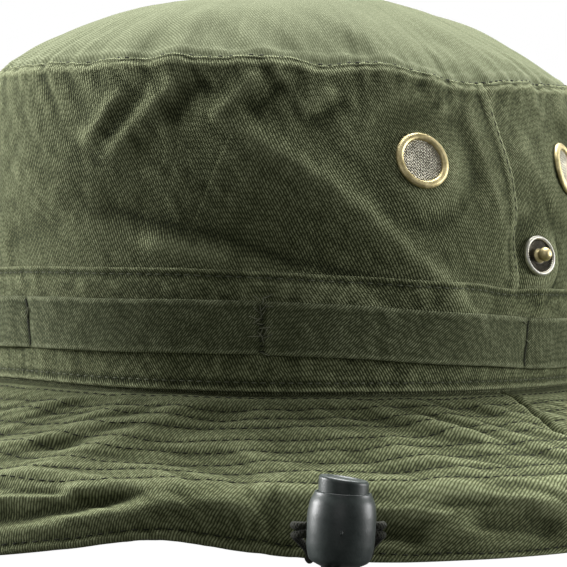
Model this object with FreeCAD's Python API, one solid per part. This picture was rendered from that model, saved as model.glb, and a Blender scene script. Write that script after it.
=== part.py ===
import FreeCAD, Part
import math
import os

# A quilted-brim bucket hat (boonie pattern) standing on its brim, in millimetres.
# +Z is up, the front is -Y, the two side seams are at +X and -X.
# The origin is at the middle of the head oval, on the plane that the brim's edge stands on.
# Cloth pieces are drawn round, with mean radii, and then stretched to the oval of a head.

# ---- driving dimensions ----
OVAL_X = 0.96
OVAL_Y = 1.04
LAYER_GAP = 0.2

SEAM_Z = 42.0
TIP_SEAM_Z = 137.5
APEX_Z = 163.0
CROWN_R_LOW = 94.0
CROWN_R_MID = 97.0
CROWN_MID_Z = 100.0
CROWN_R_TOP = 91.0
CLOTH = 1.0

BAND_TOP_Z = 74.0
BAND_THICK = 1.0
LOOP_BAND_Z = (51.0, 66.0)
LOOP_BAND_THICK = 1.2
TACKS = 7
TACK_PITCH = 49.0
TACK_WIDTH = 1.4
TACK_THICK = 0.6
SWEATBAND_TOP_Z = 75.0
SWEATBAND_THICK = 1.1
BINDING_THICK = 0.8
BINDING_WIDTH = 13.0
TIP_ALLOWANCE = 7.5
TIP_EDGE = 0.3
TIP_MID_R = 50.0
TIP_MID_RISE = 0.84

BRIM_ROOT_R = 94.6
BRIM_ROOT_Z = 41.2
BRIM_SLOPE = 30.0
BRIM_SLOPE_LENGTH = 45.0
BRIM_LIP_SLOPE = 57.0
BRIM_FOLD_R = 9.0
BRIM_LAYERS = {"upper": (0.4, 1.3), "interlining": (-0.3, 0.3), "lower": (-1.3, -0.4)}
HALF_GAP = 0.15
EDGE_TRIM = 1.0

FLAP_AZIMUTH = 97.0
FLAP_HINGE_R = 94.0
FLAP_HINGE_Z = 41.6
FLAP_GAP = 0.4

VENT_AZIMUTHS = {"front_right": 69.5, "back_right": 110.5, "back_left": -110.5, "front_left": -69.5}
VENT_Z = 108.0
VENT_R = 8.0
VENT_MESH_R = 5.85

STUD_Z = 81.0
STUD_R = 5.95
BALL_R = 2.2
BALL_HEIGHT = 2.8
POST_R = 1.2
SOCKET_R = 5.5
SOCKET_HEIGHT = 3.2
SOCKET_REACH = 38.8
SOCKET_POST = -3.6
SOCKET_FLOOR = 0.3
CAP_R = 5.0

CORD_D = 2.0
CORD_FLOOR_Z = 1.1
TAB_SIZE = (1.8, 8.0, 16.0)
TAB_X = 87.6
TAB_FOOT_Z = 30.0

LOCK_AZIMUTH = 44.5
LOCK_OUT = 165.0
LOCK_ASIDE = 13.7
LOCK_FOOT_Z = 2.5
LOCK_R = 8.1
LOCK_TOP_Z = 21.3
LOCK_WALL = 1.6
LOCK_FLOOR = 1.3
LOCK_SHOULDER = 2.4
LOCK_ROUND = 4.2
PLUNGER_R = 6.3
PLUNGER_TOP_Z = 24.7
PLUNGER_FOOT_Z = 8.5
PLUNGER_TRAVEL = 3.0
STRAND_Z = (10.7, 12.9)
EYE_WIDTH = 2.6
SPRING_WIRE = 0.6
SPRING_PLAY = 0.05
SPRING_R = 4.6
SPRING_TURNS = 3

NOTCH_WIDTH = 62.0
NOTCH_HEIGHT = 6.0

BIG = 400.0
Z_AXIS = FreeCAD.Vector(0, 0, 1)
ORIGIN = FreeCAD.Vector(0, 0, 0)


# ---- helpers ----
def save(node, *shapes):
    """Write one node as closed solids."""
    solids = [s for shape in shapes for s in shape.Solids]
    result = solids[0] if len(solids) == 1 else Part.Compound(solids)
    for solid in solids:
        assert solid.isValid() and solid.Volume > 0, node
    result.exportStep(f"parts/{node}.step")


def rz(r, z):
    """A point of a drawn section, at a radius and a height."""
    return FreeCAD.Vector(r, 0, z)


def lines(*points):
    """Straight edges from point to point."""
    return [Part.LineSegment(a, b).toShape() for a, b in zip(points, points[1:])]


def arc(a, b, c):
    """An arc edge through three points."""
    return Part.Arc(a, b, c).toShape()


def azimuth_vector(azimuth):
    """Horizontal unit vector at an azimuth, from the front (-Y) towards +X."""
    a = math.radians(azimuth)
    return FreeCAD.Vector(math.sin(a), -math.cos(a), 0)


def to_oval(shape):
    """Stretch a round piece to the oval of the head."""
    matrix = FreeCAD.Matrix()
    matrix.scale(OVAL_X, OVAL_Y, 1)
    return shape.transformGeometry(matrix)


def turned(edges, start=0.0, sweep=360.0):
    """A closed section turned about Z from one azimuth through a sweep, then made oval."""
    face = Part.Face(Part.Wire(edges))
    face.rotate(ORIGIN, Z_AXIS, start - 90)
    return to_oval(face.revolve(ORIGIN, Z_AXIS, sweep))


# ---- crown side: a gently bulging shell, one circle arc in section ----
def crown_circle():
    """Centre radius, centre height and radius of the crown side's outer arc."""
    a, b, c = rz(CROWN_R_LOW, SEAM_Z), rz(CROWN_R_MID, CROWN_MID_Z), rz(CROWN_R_TOP, TIP_SEAM_Z)
    circle = Part.Arc(a, b, c).toShape().Curve
    return circle.Center.x, circle.Center.z, circle.Radius


CIRCLE_R, CIRCLE_Z, CIRCLE_RADIUS = crown_circle()


def crown_r(z, offset=0.0):
    """Mean radius of the crown's outer surface at a height, moved out by an offset."""
    return CIRCLE_R + math.sqrt((CIRCLE_RADIUS + offset) ** 2 - (z - CIRCLE_Z) ** 2)


def crown_strip(z_low, z_high, inner, outer):
    """Section of a strip that follows the crown between two heights and two offsets."""
    z_mid = (z_low + z_high) / 2
    corner = [rz(crown_r(z, o), z) for o, z in
              ((inner, z_low), (inner, z_mid), (inner, z_high), (outer, z_high), (outer, z_mid), (outer, z_low))]
    return [arc(*corner[:3]), *lines(corner[2], corner[3]), arc(*corner[3:]), *lines(corner[5], corner[0])]


def on_crown(azimuth, z):
    """Point on the stretched crown's outer surface and its outward direction."""
    a = math.radians(azimuth)
    turn = math.atan2(math.sin(a) / OVAL_X, math.cos(a) / OVAL_Y)
    r = crown_r(z)
    point = FreeCAD.Vector(OVAL_X * r * math.sin(turn), -OVAL_Y * r * math.cos(turn), z)
    rise = (z - CIRCLE_Z) / CIRCLE_RADIUS
    level = math.sqrt(1 - rise ** 2)
    normal = FreeCAD.Vector(level * math.sin(turn) / OVAL_X, -level * math.cos(turn) / OVAL_Y, rise)
    return point, normal.normalize()


def placed(shape, point, axis):
    """A piece drawn about +Z, put at a point with its +Z along an axis."""
    copy = shape.copy()
    copy.Placement = FreeCAD.Placement(point, FreeCAD.Rotation(Z_AXIS, axis))
    return copy


def spun(*points):
    """A small fitting turned about +Z from (radius, height) corners."""
    corners = [rz(r, h) for r, h in points]
    return Part.Face(Part.Wire(lines(*corners, corners[0]))).revolve(ORIGIN, Z_AXIS, 360)


# ---- vents: a flanged brass ring through the cloth, woven wire, and a washer behind ----
VENT_BARREL_R = VENT_MESH_R + 0.55
VENT_HOLE_R = VENT_BARREL_R + 0.2
VENT_DEPTH = 2.4
WASHER_TOP = -1.5
WASHER_THICK = 0.6


def vent_ring():
    lip_r, crest_r = VENT_MESH_R - 0.35, VENT_MESH_R + 0.9
    return spun((lip_r, 0.05), (lip_r, 0.45), (crest_r, 1.05), (VENT_R - 0.4, 0.75), (VENT_R, 0.3), (VENT_R, 0.1),
                (VENT_BARREL_R, 0.1), (VENT_BARREL_R, -VENT_DEPTH), (VENT_MESH_R + 0.05, -VENT_DEPTH),
                (VENT_MESH_R + 0.05, 0.05))


def vent_mesh():
    return spun((0, -0.45), (VENT_MESH_R, -0.45), (VENT_MESH_R, 0.0), (0, 0.0))


def vent_washer():
    inner = VENT_BARREL_R + 0.05
    return spun((inner, WASHER_TOP), (VENT_R, WASHER_TOP), (VENT_R, WASHER_TOP - WASHER_THICK),
                (inner, WASHER_TOP - WASHER_THICK))


# ---- snaps: ball stud on the crown, socket and cap on the folding brim side ----
STUD_BACK_TOP = -1.3
STUD_BACK_THICK = 0.6
SNAP_HOLE_R = POST_R + 0.2


def snap_stud():
    neck, top = BALL_R * 0.72, BALL_HEIGHT + BALL_R
    body = spun((0, 0.05), (STUD_R, 0.05), (STUD_R, 0.7), (STUD_R - 0.4, 1.15), (STUD_R - 1.0, 1.0),
                (STUD_R - 1.4, 0.5), (neck, 0.5), (neck, BALL_HEIGHT), (0, BALL_HEIGHT))
    ball = Part.makeSphere(BALL_R, FreeCAD.Vector(0, 0, BALL_HEIGHT))
    ball = ball.cut(Part.makeBox(BIG, BIG, BIG, FreeCAD.Vector(-BIG / 2, -BIG / 2, top - 0.5)))
    post = Part.makeCylinder(POST_R, 0.05 - STUD_BACK_TOP, FreeCAD.Vector(0, 0, STUD_BACK_TOP))
    return body.fuse([ball, post]).removeSplitter()


def snap_stud_back():
    return spun((0, STUD_BACK_TOP), (STUD_R - 0.9, STUD_BACK_TOP), (STUD_R - 0.9, STUD_BACK_TOP - 0.3),
                (STUD_R - 1.5, STUD_BACK_TOP - STUD_BACK_THICK), (0, STUD_BACK_TOP - STUD_BACK_THICK))


def snap_socket():
    well, mouth = BALL_R + 0.3, BALL_R + 0.35
    shell = spun((0, 0.05), (SOCKET_R, 0.05), (SOCKET_R, SOCKET_HEIGHT * 0.6), (SOCKET_R - 0.8, SOCKET_HEIGHT),
                 (mouth, SOCKET_HEIGHT), (well, SOCKET_HEIGHT - 0.6), (well, SOCKET_FLOOR), (0, SOCKET_FLOOR))
    post = Part.makeCylinder(POST_R, 0.05 - SOCKET_POST, FreeCAD.Vector(0, 0, SOCKET_POST))
    return shell.fuse(post).removeSplitter()


def snap_cap():
    low = SOCKET_POST
    return spun((0, low), (CAP_R, low), (CAP_R, low - 0.4), (CAP_R - 1.2, low - 1.0), (0, low - 1.2))


# ---- brim: a sloping ring with its outer strip turned down, three layers ----
def unit(angle):
    """Outward direction in the section that falls at an angle below level."""
    a = math.radians(angle)
    return rz(math.cos(a), -math.sin(a))


def up_normal(angle):
    """Upward normal of a line that falls at an angle below level."""
    a = math.radians(angle)
    return rz(math.sin(a), math.cos(a))


FOLD_START = rz(BRIM_ROOT_R, BRIM_ROOT_Z) + unit(BRIM_SLOPE) * BRIM_SLOPE_LENGTH
FOLD_CENTRE = FOLD_START - up_normal(BRIM_SLOPE) * BRIM_FOLD_R


def brim_line(offset):
    """Corner points of the brim's section line: root, fold start, fold middle, fold end, edge below z = 0."""
    radius = BRIM_FOLD_R + offset
    slope_foot = rz(BRIM_ROOT_R, BRIM_ROOT_Z + offset / math.cos(math.radians(BRIM_SLOPE)))
    start = FOLD_CENTRE + up_normal(BRIM_SLOPE) * radius
    middle = FOLD_CENTRE + up_normal((BRIM_SLOPE + BRIM_LIP_SLOPE) / 2) * radius
    end = FOLD_CENTRE + up_normal(BRIM_LIP_SLOPE) * radius
    edge = end + unit(BRIM_LIP_SLOPE) * ((end.z + EDGE_TRIM) / math.sin(math.radians(BRIM_LIP_SLOPE)))
    return slope_foot, start, middle, end, edge


def brim_section(low, high):
    """Closed section of one layer between two offsets from the brim's middle line."""
    a, b, c, d, e = brim_line(low)
    f, g, h, i, j = brim_line(high)
    return [*lines(a, b), arc(b, c, d), *lines(d, e, j, i), arc(i, h, g), *lines(g, f, a)]


def brim_half(layer, front):
    """One layer of the front or the back half of the brim, trimmed flat where it stands."""
    gap = math.degrees(HALF_GAP / BRIM_ROOT_R)
    start = -90 if front else 90
    half = turned(brim_section(*BRIM_LAYERS[layer]), start + gap, 180 - 2 * gap)
    return half.cut(Part.makeBox(BIG, BIG, BIG, FreeCAD.Vector(-BIG / 2, -BIG / 2, -BIG)))


def beyond(azimuth, distance):
    """Half space past a vertical plane at a distance along an azimuth, as a big box."""
    box = Part.makeBox(BIG, BIG, BIG, FreeCAD.Vector(distance, -BIG / 2, -BIG / 2))
    return box.rotate(ORIGIN, Z_AXIS, azimuth - 90)


def lock_point(along, out, up):
    """Point in the cord lock's own frame: along its eye, outward from the hat, and up."""
    outward = azimuth_vector(LOCK_AZIMUTH)
    aside = azimuth_vector(LOCK_AZIMUTH + 90)
    return outward * (LOCK_OUT + out) + aside * (LOCK_ASIDE + along) + FreeCAD.Vector(0, 0, up)


def cord_notch():
    """Low arch through the brim's turned-down strip, where the cord passes."""
    radius = ((NOTCH_WIDTH / 2) ** 2 + NOTCH_HEIGHT ** 2) / (2 * NOTCH_HEIGHT)
    base = lock_point(0, -60, NOTCH_HEIGHT - radius)
    return Part.makeCylinder(radius, 80, base, azimuth_vector(LOCK_AZIMUTH))


def socket_place(side):
    """Point on the brim's top surface for a snap socket, and the surface's outward direction."""
    outward = azimuth_vector(side * FLAP_AZIMUTH)
    stretch = math.hypot(OVAL_X * outward.x, OVAL_Y * outward.y)
    slope = math.atan(math.tan(math.radians(BRIM_SLOPE)) / stretch)
    reach = FLAP_HINGE_R + SOCKET_REACH * math.cos(slope)
    top = BRIM_LAYERS["upper"][1] / math.cos(math.radians(BRIM_SLOPE))
    height = BRIM_ROOT_Z + top - (reach / stretch - BRIM_ROOT_R) * math.tan(math.radians(BRIM_SLOPE))
    normal = outward * math.sin(slope) + Z_AXIS * math.cos(slope)
    return outward * reach + Z_AXIS * height, normal


# ---- chin cord: straight runs joined by tangent arcs ----
def cord_path(points):
    """Wire along a route, each corner rounded as largely as its two runs allow."""
    radii, edges, here = [], [], points[0]
    for before, corner, after in zip(points, points[1:], points[2:]):
        back, ahead = before - corner, after - corner
        half_turn = (math.pi - back.getAngle(ahead)) / 2
        trim = 0.45 * min(back.Length, ahead.Length)
        radius = trim / math.tan(half_turn)
        radii.append(radius)
        back.normalize()
        ahead.normalize()
        first, last = corner + back * trim, corner + ahead * trim
        inward = (back + ahead).normalize()
        middle = corner + inward * (radius / math.cos(half_turn) - radius)
        edges += [*lines(here, first), arc(first, middle, last)]
        here = last
    edges += lines(here, points[-1])
    return Part.Wire(edges), radii


def cord_tube(name, points):
    """Round cord along a route, with its length and tightest arcs reported."""
    wire, radii = cord_path(points)
    ring = Part.Circle(points[0], points[1] - points[0], CORD_D / 2).toShape()
    tube = wire.makePipeShell([Part.Wire([ring])], True, False)
    tube = tube if tube.Solids else Part.Solid(tube)
    ideal = math.pi * CORD_D ** 2 / 4 * wire.Length
    print(f"{name}: length {wire.Length:.1f}, volume/ideal {tube.Volume / ideal:.4f}, radii",
          [round(r, 1) for r in radii])
    return tube


def floor(*places):
    """Route points on the standing surface."""
    return [FreeCAD.Vector(x, y, CORD_FLOOR_Z) for x, y in places]


TAB_MID_X = TAB_X - TAB_SIZE[0] / 2
KNOT_OUT = 22.0
KNOT_SIZE = (8.0, 6.5, 4.6)
LEFT_ROUTE = [
    FreeCAD.Vector(-TAB_MID_X, 0, TAB_FOOT_Z), FreeCAD.Vector(-TAB_MID_X, 0, 20), FreeCAD.Vector(-83, 4, 8),
    *floor((-74, 9), (-51, 20), (-26, 15), (-9, -8), (6, -34)),
    lock_point(-28, -106, CORD_FLOOR_Z), lock_point(-15, -88, CORD_FLOOR_Z), lock_point(-7, -73, CORD_FLOOR_Z),
    lock_point(-6, -56, CORD_FLOOR_Z), lock_point(-7, -42, CORD_FLOOR_Z), lock_point(-7.4, -31, CORD_FLOOR_Z),
    lock_point(-6.8, -20, 1.4), lock_point(-7.2, -12.8, 5.2), lock_point(-10.8, -6.8, 9.6),
    lock_point(-11.2, 0, STRAND_Z[0]), lock_point(11.2, 0, STRAND_Z[0]),
    lock_point(10.8, -6.8, 9.6), lock_point(7.2, -12.8, 4.6), lock_point(6.2, -18, CORD_FLOOR_Z),
    lock_point(2.2, -19.5, CORD_FLOOR_Z), lock_point(-0.75, -14, CORD_FLOOR_Z), lock_point(-0.3, -3, CORD_FLOOR_Z),
    lock_point(-1.0, 12, CORD_FLOOR_Z), lock_point(-1.0, KNOT_OUT, CORD_FLOOR_Z),
]
RIGHT_ROUTE = [
    FreeCAD.Vector(TAB_MID_X, 0, TAB_FOOT_Z), FreeCAD.Vector(TAB_MID_X, 0, 20), FreeCAD.Vector(83, 5, 8),
    *floor((74, 12), (52, 30), (26, 34), (9, 18), (16, -7), (37, -22), (57, -38)),
    lock_point(4, -76, CORD_FLOOR_Z), lock_point(3, -56, CORD_FLOOR_Z), lock_point(1, -41, CORD_FLOOR_Z),
    lock_point(-1.5, -31, 2.0), lock_point(-3.2, -21, 5.0), lock_point(-7.4, -13.2, 9.2),
    lock_point(-11.0, -7.2, 12.4), lock_point(-11.2, 0, STRAND_Z[1]),
    lock_point(11.2, 0, STRAND_Z[1]), lock_point(11.0, -7.2, 12.4),
    lock_point(8.6, -14.2, 7.6), lock_point(8.6, -21.5, 1.8), lock_point(5, -25.5, CORD_FLOOR_Z),
    lock_point(0.5, -24.5, CORD_FLOOR_Z), lock_point(-3.4, -17, CORD_FLOOR_Z), lock_point(-3.0, -4, CORD_FLOOR_Z),
    lock_point(-3.4, 11, CORD_FLOOR_Z), lock_point(-3.4, KNOT_OUT, CORD_FLOOR_Z),
]


def cord_knot():
    """The two strands' end knot, a rounded lump that they enter side by side."""
    length, width, height = KNOT_SIZE
    lump = Part.makeBox(width, length, height, FreeCAD.Vector(-width / 2, 0, 0))
    lump = lump.makeFillet(1.6, [e for e in lump.Edges if min(v.Y for v in e.Vertexes) > length / 2])
    lump.rotate(ORIGIN, Z_AXIS, LOCK_AZIMUTH + 180)
    lump.translate(lock_point(-2.2, KNOT_OUT, 0.05))
    return lump


# ---- cord lock: body with an eye across it, sprung plunger with the same eye ----
EYE_LOW = STRAND_Z[0] - CORD_D / 2 - 0.1
EYE_HIGH = STRAND_Z[1] + CORD_D / 2 + 0.1


def eye(low, high):
    """Slot along the lock's aside direction, between two heights, to cut the cord's way."""
    slot = Part.makeBox(BIG / 4, EYE_WIDTH, high - low, FreeCAD.Vector(-BIG / 8, -EYE_WIDTH / 2, low))
    slot.rotate(ORIGIN, Z_AXIS, LOCK_AZIMUTH)
    slot.translate(lock_point(0, 0, 0))
    return slot


def at_lock(shape):
    """A piece drawn about Z moved to the lock's place."""
    shape.translate(lock_point(0, 0, 0))
    return shape


def lock_body():
    bore = LOCK_R - LOCK_WALL
    low, top = LOCK_FOOT_Z, LOCK_TOP_Z
    bulge = math.sqrt(0.5)
    edges = [
        *lines(rz(0, low), rz(LOCK_R - LOCK_ROUND, low)),
        arc(rz(LOCK_R - LOCK_ROUND, low), rz(LOCK_R - LOCK_ROUND * (1 - bulge), low + LOCK_ROUND * (1 - bulge)),
            rz(LOCK_R, low + LOCK_ROUND)),
        *lines(rz(LOCK_R, low + LOCK_ROUND), rz(LOCK_R - 0.4, top - LOCK_SHOULDER), rz(LOCK_R - 1.2, top),
               rz(bore, top), rz(bore, low + LOCK_FLOOR), rz(0, low + LOCK_FLOOR), rz(0, low)),
    ]
    body = Part.Face(Part.Wire(edges)).revolve(ORIGIN, Z_AXIS, 360)
    return at_lock(body).cut(eye(EYE_LOW, EYE_HIGH))


def lock_plunger():
    rim = 0.5
    body = spun((0, PLUNGER_FOOT_Z), (PLUNGER_R, PLUNGER_FOOT_Z), (PLUNGER_R, PLUNGER_TOP_Z - rim),
                (PLUNGER_R - rim, PLUNGER_TOP_Z), (0, PLUNGER_TOP_Z))
    return at_lock(body).cut(eye(EYE_LOW, EYE_HIGH + PLUNGER_TRAVEL))


def lock_spring():
    """Coil of square wire between the body's floor and the plunger's foot."""
    half = SPRING_WIRE / 2
    low = LOCK_FOOT_Z + LOCK_FLOOR + half + SPRING_PLAY
    high = PLUNGER_FOOT_Z - half - SPRING_PLAY
    helix = Part.makeHelix((high - low) / SPRING_TURNS, high - low, SPRING_R)
    corners = [rz(SPRING_R + r, z) for r, z in ((-half, -half), (half, -half), (half, half), (-half, half))]
    section = Part.Wire(lines(*corners, corners[0]))
    coil = Part.Wire(helix.Edges).makePipeShell([section], True, True)
    coil.translate(FreeCAD.Vector(0, 0, low))
    return at_lock(coil)


# ---- the pieces ----
def make_crown():
    """Crown tip, side panels, bands, bindings and sweatband."""
    inner = -CLOTH
    lining = inner - LAYER_GAP
    tip_edge_r = crown_r(TIP_SEAM_Z)
    fold_r = tip_edge_r - CLOTH - TIP_EDGE
    tip_z = TIP_SEAM_Z + LAYER_GAP
    rise = APEX_Z - tip_z - CLOTH
    top = [rz(0, APEX_Z), rz(TIP_MID_R, tip_z + CLOTH + rise * TIP_MID_RISE),
           rz(tip_edge_r + TIP_EDGE, tip_z + CLOTH)]
    under = [p - rz(0, CLOTH) for p in top]
    under[2] = rz(fold_r - BINDING_THICK, tip_z)
    save("crown_tip", turned([
        arc(*top),
        *lines(top[2], rz(tip_edge_r + TIP_EDGE, tip_z), rz(fold_r, tip_z), rz(fold_r, tip_z - TIP_ALLOWANCE),
               rz(fold_r - BINDING_THICK, tip_z - TIP_ALLOWANCE), under[2]),
        arc(under[2], under[1], under[0]), *lines(under[0], top[0])]))
    binding_r = fold_r - BINDING_THICK - LAYER_GAP
    corners = [rz(binding_r, tip_z - 1), rz(binding_r, tip_z - TIP_ALLOWANCE - 1),
               rz(binding_r - BINDING_THICK, tip_z - TIP_ALLOWANCE - 1), rz(binding_r - BINDING_THICK, tip_z - 1)]
    save("tip_seam_binding", turned(lines(*corners, corners[0])))

    gap = math.degrees(HALF_GAP / CROWN_R_LOW)
    halves = {}
    for name, start in (("front", -90), ("back", 90)):
        halves[name] = turned(crown_strip(SEAM_Z, TIP_SEAM_Z, inner, 0), start + gap, 180 - 2 * gap)
    for place, azimuth in VENT_AZIMUTHS.items():
        point, normal = on_crown(azimuth, VENT_Z)
        hole = placed(Part.makeCylinder(VENT_HOLE_R, 12, FreeCAD.Vector(0, 0, -8)), point, normal)
        half = place.split("_")[0]
        halves[half] = halves[half].cut(hole)
    for side in (-1, 1):
        point, normal = on_crown(side * FLAP_AZIMUTH, STUD_Z)
        hole = placed(Part.makeCylinder(SNAP_HOLE_R, 12, FreeCAD.Vector(0, 0, -8)), point, normal)
        halves["back"] = halves["back"].cut(hole)
    for name, half in halves.items():
        save(f"crown_panel_{name}", half)

    strip_turn = math.degrees(BINDING_WIDTH / CROWN_R_MID)
    strip_low, strip_high = SWEATBAND_TOP_Z + 1, TIP_SEAM_Z - TIP_ALLOWANCE - 3
    for side, azimuth in (("right", 90), ("left", -90)):
        strip = crown_strip(strip_low, strip_high, lining - BINDING_THICK, lining)
        strip = turned(strip, azimuth - strip_turn / 2, strip_turn)
        point, normal = on_crown(FLAP_AZIMUTH * (1 if side == "right" else -1), STUD_Z)
        room = placed(Part.makeCylinder(STUD_R - 0.6, 12, FreeCAD.Vector(0, 0, -8)), point, normal)
        save(f"side_seam_binding_{side}", strip.cut(room))
    save("sweatband", turned(crown_strip(SEAM_Z + 1, SWEATBAND_TOP_Z, lining - SWEATBAND_THICK, lining)))

    outer = LAYER_GAP
    save("crown_band", turned(crown_strip(SEAM_Z + 1.2, BAND_TOP_Z, outer, outer + BAND_THICK)))
    outer += BAND_THICK + LAYER_GAP
    save("loop_band", turned(crown_strip(*LOOP_BAND_Z, outer, outer + LOOP_BAND_THICK)))
    outer += LOOP_BAND_THICK + LAYER_GAP / 4
    tack_turn = math.degrees(TACK_WIDTH / CROWN_R_LOW)
    low, high = LOOP_BAND_Z[0] + 0.6, LOOP_BAND_Z[1] - 0.6
    tacks = [turned(crown_strip(low, high, outer, outer + TACK_THICK), 90 - TACK_PITCH * k - tack_turn / 2, tack_turn)
             for k in range(TACKS)]
    save("loop_band_tacks", *tacks)


def make_brim():
    """Brim layers: the fixed ring in a front and a back half, and a folding part on each side."""
    notch = cord_notch()
    sides = {"right": FLAP_AZIMUTH, "left": -FLAP_AZIMUTH}
    outside = {side: beyond(azimuth, FLAP_HINGE_R) for side, azimuth in sides.items()}
    past_gap = {side: beyond(azimuth, FLAP_HINGE_R + FLAP_GAP) for side, azimuth in sides.items()}
    posts = []
    for side in (-1, 1):
        point, normal = socket_place(side)
        posts.append(placed(Part.makeCylinder(SNAP_HOLE_R, 12, FreeCAD.Vector(0, 0, -8)), point, normal))
    for layer in BRIM_LAYERS:
        halves = {name: brim_half(layer, name == "front") for name in ("front", "back")}
        halves["front"] = halves["front"].cut(notch)
        halves["back"] = halves["back"].cut(posts)
        for name, half in halves.items():
            save(f"brim_{layer}_{name}", half.cut(list(outside.values())))
        for side, room in past_gap.items():
            save(f"brim_flap_{side}_{layer}", *[half.common(room) for half in halves.values()])


def make_hardware():
    """Vents and snaps."""
    for place, azimuth in VENT_AZIMUTHS.items():
        point, normal = on_crown(azimuth, VENT_Z)
        for piece, shape in (("ring", vent_ring()), ("mesh", vent_mesh()), ("washer", vent_washer())):
            save(f"vent_{place}_{piece}", placed(shape, point, normal))
    for side, sign in (("right", 1), ("left", -1)):
        point, normal = on_crown(sign * FLAP_AZIMUTH, STUD_Z)
        save(f"snap_stud_{side}", placed(snap_stud(), point, normal))
        save(f"snap_stud_back_{side}", placed(snap_stud_back(), point, normal))
        point, normal = socket_place(sign)
        save(f"snap_socket_{side}", placed(snap_socket(), point, normal))
        save(f"snap_cap_{side}", placed(snap_cap(), point, normal))


def make_chin_cord():
    """Tabs, the two strands, their knot and the cord lock."""
    thick, width, height = TAB_SIZE
    for side, x in (("right", TAB_X - thick), ("left", -TAB_X)):
        save(f"chin_tab_{side}", Part.makeBox(thick, width, height, FreeCAD.Vector(x, -width / 2, TAB_FOOT_Z)))
    save("chin_cord_left", cord_tube("left strand", LEFT_ROUTE))
    save("chin_cord_right", cord_tube("right strand", RIGHT_ROUTE))
    save("chin_cord_knot", cord_knot())
    save("cord_lock_body", lock_body())
    save("cord_lock_plunger", lock_plunger())
    save("cord_lock_spring", lock_spring())


os.makedirs("parts", exist_ok=True)
make_crown()
make_brim()
make_hardware()
make_chin_cord()
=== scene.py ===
import math

import bpy
import numpy as np
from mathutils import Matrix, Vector


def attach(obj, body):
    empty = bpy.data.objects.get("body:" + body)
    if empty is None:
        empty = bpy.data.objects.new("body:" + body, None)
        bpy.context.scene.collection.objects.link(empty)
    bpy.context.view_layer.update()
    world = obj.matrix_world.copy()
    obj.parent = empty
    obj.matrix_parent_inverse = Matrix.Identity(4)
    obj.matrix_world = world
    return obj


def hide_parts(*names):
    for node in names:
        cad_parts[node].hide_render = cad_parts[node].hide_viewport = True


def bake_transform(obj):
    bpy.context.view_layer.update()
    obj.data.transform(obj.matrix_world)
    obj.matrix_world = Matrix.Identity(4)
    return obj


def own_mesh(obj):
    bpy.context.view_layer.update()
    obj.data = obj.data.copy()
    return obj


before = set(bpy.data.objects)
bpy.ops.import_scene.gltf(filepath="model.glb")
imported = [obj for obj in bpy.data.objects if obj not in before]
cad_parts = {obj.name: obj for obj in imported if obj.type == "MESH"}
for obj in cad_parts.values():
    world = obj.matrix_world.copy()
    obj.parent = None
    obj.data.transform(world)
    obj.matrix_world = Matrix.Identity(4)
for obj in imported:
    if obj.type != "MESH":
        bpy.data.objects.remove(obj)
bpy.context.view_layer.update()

# A boonie-pattern bucket hat standing on its brim. Cloth is worked out in millimetres on a round hat
# and stretched to the head's oval; everything is in metres once it is a mesh.

MM = 0.001
OVAL = (0.96, 1.04)
VIEW_AZIMUTH = math.radians(44.5)
SEED = 11

# ---- the hat's own sizes, in millimetres ----
SEAM_Z = 42.0
TIP_Z = 137.5
APEX_Z = 163.6
CROWN_ARC = ((94.0, 42.0), (97.0, 100.0), (91.0, 137.5))
BAND_FOOT_Z, BAND_TOP_Z = 42.1, 74.5
BAND_ROW, FOOT_ROW = BAND_TOP_Z - 1.9, BAND_FOOT_Z + 2.6
LOOP_Z = (50.8, 66.0)
BAND_OUT, LOOP_OUT = 1.25, 2.55
BRIM_ROOT = (94.6, 41.6)
BRIM_SLOPE, LIP_SLOPE = math.radians(30), math.radians(57)
SLOPE_LENGTH, FOLD_R, LIP_LENGTH = 45.0, 9.0, 18.3
FLAP_HINGE = 94.0
WALE = 0.7
CROWN_MID_R, BRIM_MID_R = 96.0, 120.0     # radii at which distances round the crown and the brim are measured
AROUND, BRIM_AROUND = 2 * math.pi * CROWN_MID_R, 2 * math.pi * BRIM_MID_R
TIP_R = 91.0
TIP_AROUND = 2 * math.pi * TIP_R
QUARTER = math.pi / 2


# =====================================================================================
# Small tools
# =====================================================================================
def oval(t, r, z):
    """Points on the stretched hat from azimuth, mean radius and height, in millimetres."""
    return np.stack([OVAL[0] * r * np.sin(t), -OVAL[1] * r * np.cos(t), z + 0 * t], -1)


def smooth(x, low, high):
    """0 below low, 1 above high, smooth between."""
    x = np.clip((x - low) / (high - low), 0, 1)
    return x * x * (3 - 2 * x)


def bell(x, middle, width):
    """1 at the middle, falling to 0 on both sides."""
    return np.exp(-((x - middle) / width) ** 2)


def view_angle(t):
    """Azimuth from the front quarter that the seam tack faces, in degrees, -180 to 180."""
    return (np.degrees(t - VIEW_AZIMUTH) + 180) % 360 - 180


def wrapped(t):
    """The same azimuth in radians, from -pi to pi."""
    return (t + math.pi) % (2 * math.pi) - math.pi


def around_mm(t, radius=CROWN_MID_R):
    """Distance round in mm from the azimuth that the photographed side faces, for noise that closes."""
    return np.radians((view_angle(t) + 360) % 360) * radius


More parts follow.
